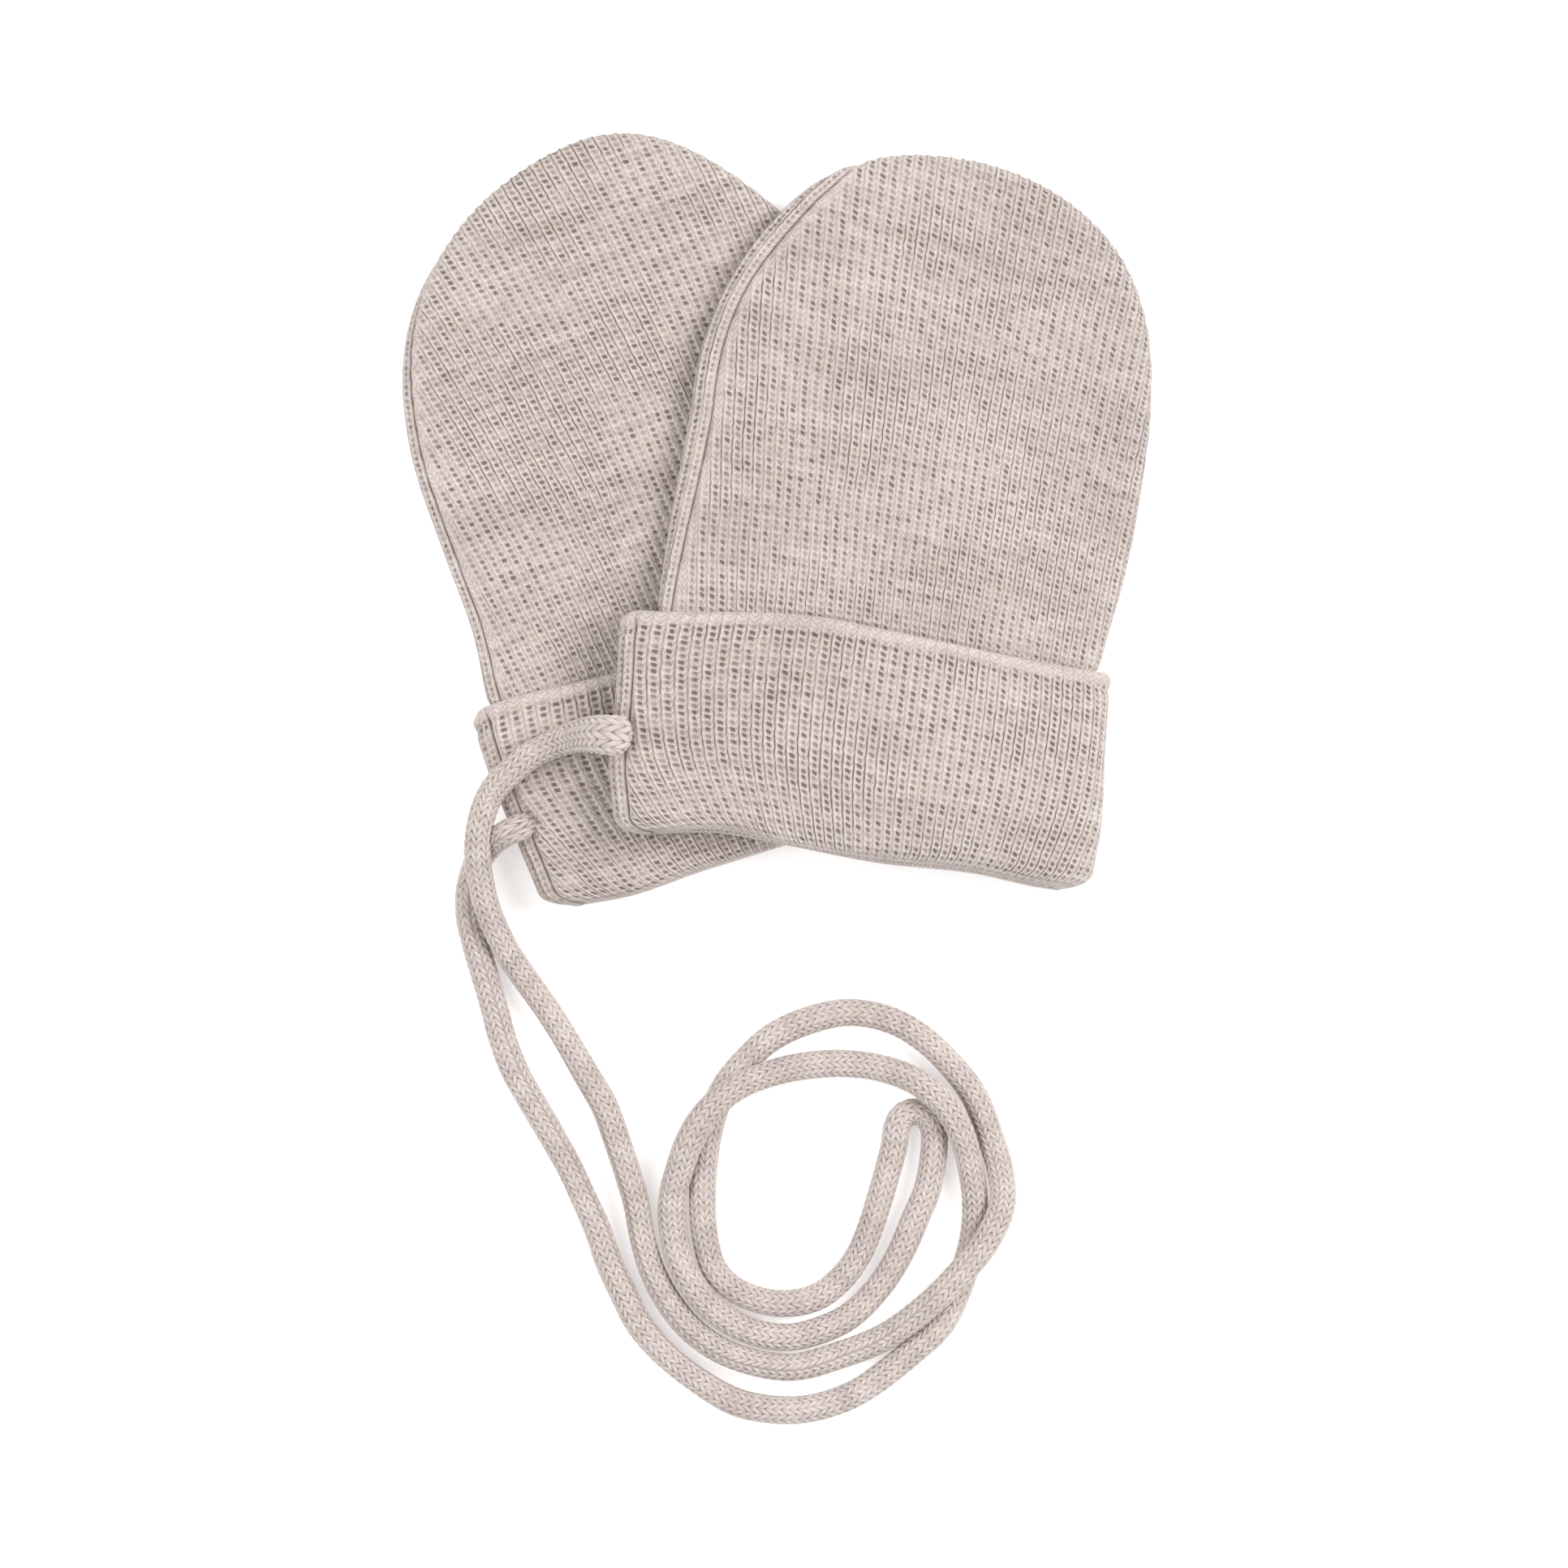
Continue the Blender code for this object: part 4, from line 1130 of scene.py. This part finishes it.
def wool(name, light, dark, pattern):
    """Heathered wool: pattern gives where the knit's hollows get painted shade, and how raised the knit
    is at each place.
    """
    material = bpy.data.materials.new(name)
    material.use_nodes = True
    tree = material.node_tree
    shader = tree.nodes["Principled BSDF"]
    knit = node(tree, "ShaderNodeAttribute", attribute_name="knit").outputs["Vector"]
    parts = node(tree, "ShaderNodeSeparateXYZ", {0: knit}).outputs
    wale, course, openness = parts
    painted_shade, raised = pattern(tree, wale, course, openness)

    place = node(tree, "ShaderNodeTexCoord").outputs["Object"]
    streaks = noise_of(tree, scaled(tree, knit, (0.10, 0.55, 0.0)), 1.0, 3.0, 0.6)
    patches = noise_of(tree, scaled(tree, knit, (0.05, 0.10, 0.0)), 1.0, 2.0)
    one_stitch = chance(tree, maths(tree, "MULTIPLY", wale, 2.0), course)[0]
    fibres = noise_of(tree, scaled(tree, knit, (14.0, 5.0, 0.0)), 1.0, 3.0, 0.7)
    fuzz = noise_of(tree, place, 2600.0, 2.0, 0.6)

    tone = maths(tree, "MULTIPLY_ADD", streaks, 1.0, -0.5)
    tone = maths(tree, "MULTIPLY_ADD", patches, 0.7, maths(tree, "SUBTRACT", tone, 0.35))
    tone = maths(tree, "MULTIPLY_ADD", one_stitch, 0.22, maths(tree, "SUBTRACT", tone, 0.11))
    tone = maths(tree, "MULTIPLY_ADD", fibres, 0.9, maths(tree, "SUBTRACT", tone, 0.45))
    yarn = mixed(tree, ramp(tree, tone, -0.45, 0.45), (*light, 1.0), (*dark, 1.0))
    warmth = noise_of(tree, scaled(tree, knit, (0.6, 0.8, 0.0)), 1.0, 2.0)
    yarn = mixed(tree, ramp(tree, warmth, 0.42, 0.62, 0.0, 0.35), yarn, (*YELLOW, 1.0))
    yarn = mixed(tree, ramp(tree, warmth, 0.52, 0.34, 0.0, 0.25), yarn, (*PINK, 1.0))
    # Painted shade: the yarn is multiplied by the hole shade colour where the pattern marks holes,
    # grooves and gaps
    shade_colour = mixed(tree, 1.0, yarn, (*HOLE_SHADE, 1.0), "MULTIPLY")
    colour = mixed(tree, painted_shade, yarn, shade_colour)
    tree.links.new(colour, shader.inputs["Base Color"])

    height = maths(tree, "MULTIPLY_ADD", fibres, 0.35, raised)
    height = maths(tree, "MULTIPLY_ADD", fuzz, 0.25, height)
    bump = node(tree, "ShaderNodeBump", {"Height": height, "Strength": 0.6, "Distance": 0.0002})
    tree.links.new(bump.outputs[0], shader.inputs["Normal"])
    shader.inputs["Roughness"].default_value = 0.95
    shader.inputs["Specular IOR Level"].default_value = 0.15
    shader.inputs["Sheen Weight"].default_value = 0.25
    shader.inputs["Sheen Roughness"].default_value = 0.5
    shader.inputs["Sheen Tint"].default_value = (1.0, 0.96, 0.93, 1.0)
    return material


def rib_pattern(tree, wale, course, openness):
    """Painted shade: slanting holes between the bars in each valley, a thin groove between a rib's legs,
    the legs' ends and a seam.
    """
    size, depth, place = chance(tree, wale, course)[:3]
    vector = node(tree, "ShaderNodeCombineXYZ", {0: wale, 1: course}).outputs[0]
    sway = noise_of(tree, scaled(tree, vector, (1.1, 0.7, 0.0)), 1.0, 2.0)
    swayed = shifted(tree, wale, sway, 0.25)
    across = maths(tree, "PINGPONG", swayed, 0.5)
    from_valley = maths(tree, "SUBTRACT", maths(tree, "FRACT", swayed), 0.5)
    slant = ramp(tree, wale, LEFT.first_wale, RIGHT.first_wale, *HOLE_SLANTS)
    drop = maths(tree, "MULTIPLY", from_valley, slant)
    slanting = maths(tree, "ADD", shifted(tree, course, place, 0.2), drop)
    to_bar = maths(tree, "PINGPONG", slanting, 0.5)
    leg = maths(tree, "PINGPONG", maths(tree, "MULTIPLY_ADD", across, 2.2, course), 0.5)
    jagged = shifted(tree, shifted(tree, across, leg, 0.08), size, 0.08)
    # Painted shade in the holes
    hole = maths(tree, "MULTIPLY", ramp(tree, jagged, 0.24, 0.37), ramp(tree, to_bar, 0.14, 0.30))
    hole = maths(tree, "MULTIPLY", hole, ramp(tree, depth, 0.0, 1.0, 0.6, 1.0))
    hole = maths(tree, "MULTIPLY", hole, maths(tree, "MAXIMUM", openness, 0.0))
    # Painted shade in the groove between a rib's legs, and fainter at the legs' ends
    groove = ramp(tree, across, 0.02, 0.12, 1.0, 0.0)
    broad = noise_of(tree, scaled(tree, vector, (0.09, 0.05, 0.0)), 1.0, 1.0)
    groove = maths(tree, "MULTIPLY", groove, ramp(tree, broad, 0.38, 0.62, 0.4, 0.95))
    strength = maths(tree, "MINIMUM", maths(tree, "MAXIMUM", openness, GROOVE_SHADES[0]), GROOVE_SHADES[1])
    groove = maths(tree, "MULTIPLY", groove, strength)
    between = ramp(tree, leg, 0.0, 0.12, 0.3, 0.0)
    painted_shade = maths(tree, "MAXIMUM", maths(tree, "MAXIMUM", hole, groove), between)
    # Painted shade along a seam, where openness is below 0
    seam = maths(tree, "MULTIPLY", openness, -SEAM_SHADE)
    painted_shade = maths(tree, "MAXIMUM", painted_shade, seam)
    raised = maths(tree, "MULTIPLY", ramp(tree, leg, 0.02, 0.3), 0.8)
    return painted_shade, maths(tree, "SUBTRACT", raised, painted_shade)


def cord_pattern(tree, wale, stitch, _):
    """Painted shade in the gaps where one slanting leg meets the next, darkest at the legs' two ends, and
    faintly along the legs' sides.
    """
    middle = maths(tree, "PINGPONG", maths(tree, "ADD", wale, 0.5), 0.5)
    slant = maths(tree, "MULTIPLY_ADD", middle, CORD_SLANT, stitch)
    line = ramp(tree, maths(tree, "PINGPONG", slant, 0.5), 0.03, 0.18, 1.0, 0.0)
    from_leg = maths(tree, "ABSOLUTE", maths(tree, "SUBTRACT", middle, 0.25))
    sides = ramp(tree, from_leg, 0.17, 0.25)
    leg = maths(tree, "MULTIPLY", wale, 2.0)
    depth = chance(tree, leg, maths(tree, "ADD", slant, 0.5))[0]
    # Painted shade in the gaps between legs, varied from stitch to stitch
    gap = maths(tree, "MULTIPLY", line, ramp(tree, from_leg, 0.06, 0.22, 0.3, 1.1))
    gap = maths(tree, "MULTIPLY", gap, ramp(tree, depth, 0.0, 1.0, 0.4, 1.1))
    painted_shade = maths(tree, "MAXIMUM", gap, maths(tree, "MULTIPLY", sides, 0.12))
    return painted_shade, maths(tree, "SUBTRACT", 1.0, maths(tree, "MAXIMUM", line, sides))


# Stage


def stage():
    """Pale floor and soft studio light."""
    mesh = bpy.data.meshes.new("floor")
    reach, below = 3.0, -0.0001
    corners = [(-reach, -reach), (reach, -reach), (reach, reach), (-reach, reach)]
    mesh.from_pydata([(x, y, below) for x, y in corners], [], [(0, 1, 2, 3)])
    floor = bpy.data.objects.new("floor", mesh)
    bpy.context.scene.collection.objects.link(floor)
    material = bpy.data.materials.new("floor_white")
    material.use_nodes = True
    shader = material.node_tree.nodes["Principled BSDF"]
    shader.inputs["Base Color"].default_value = (*FLOOR_COLOUR, 1.0)
    shader.inputs["Emission Color"].default_value = (1.0, 1.0, 1.0, 1.0)
    shader.inputs["Emission Strength"].default_value = FLOOR_GLOW
    shader.inputs["Roughness"].default_value = 0.9
    shader.inputs["Specular IOR Level"].default_value = 0.1
    mesh.materials.append(material)

    for name, place, size, power in LAMPS:
        lamp = bpy.data.lights.new(name, "AREA")
        lamp.shape = "DISK"
        lamp.size = size
        lamp.energy = power
        thing = bpy.data.objects.new(name, lamp)
        thing.location = place
        thing.rotation_euler = (-Vector(place)).to_track_quat("-Z", "Y").to_euler()
        bpy.context.scene.collection.objects.link(thing)
    world = bpy.data.worlds.new("studio")
    world.use_nodes = True
    world.node_tree.nodes["Background"].inputs["Color"].default_value = (1.0, 1.0, 1.0, 1.0)
    world.node_tree.nodes["Background"].inputs["Strength"].default_value = WORLD_LIGHT
    bpy.context.scene.world = world
    bpy.context.scene.view_settings.view_transform = "Standard"


def camera():
    """Looks straight down, framed as the photograph is."""
    data = bpy.data.cameras.new("camera")
    data.lens, data.sensor_width = LENS, SENSOR
    thing = bpy.data.objects.new("camera", data)
    x = (PICTURE / 2 - MIDDLE_PIXEL[0]) * PIXEL
    y = (MIDDLE_PIXEL[1] - PICTURE / 2) * PIXEL
    thing.location = (x, y, PICTURE * PIXEL * LENS / SENSOR)
    bpy.context.scene.collection.objects.link(thing)
    bpy.context.scene.camera = thing


def dress(thing, node_name):
    """The piece rides on the part and stands for its CAD node."""
    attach(thing, "root")
    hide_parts(node_name)


camera()
cord_wool = wool("cord_wool", LIGHT, DARK, cord_pattern)
dress(cord_tube("cord_knit", cord_wool), "cord")
rib_wool = wool("rib_wool", LIGHT, DARK, rib_pattern)
for mitten in (LEFT, RIGHT):
    lift_of = drape(mitten)
    for face, side in ((1, "front"), (-1, "back")):
        body = body_panel(mitten, lift_of, face, f"{mitten.name}_body_{side}_knit", rib_wool)
        dress(body, f"{mitten.name}_body_{side}")
        cuff = cuff_panel(mitten, lift_of, face, f"{mitten.name}_cuff_{side}_knit", rib_wool)
        dress(cuff, f"{mitten.name}_cuff_{side}")
stage()
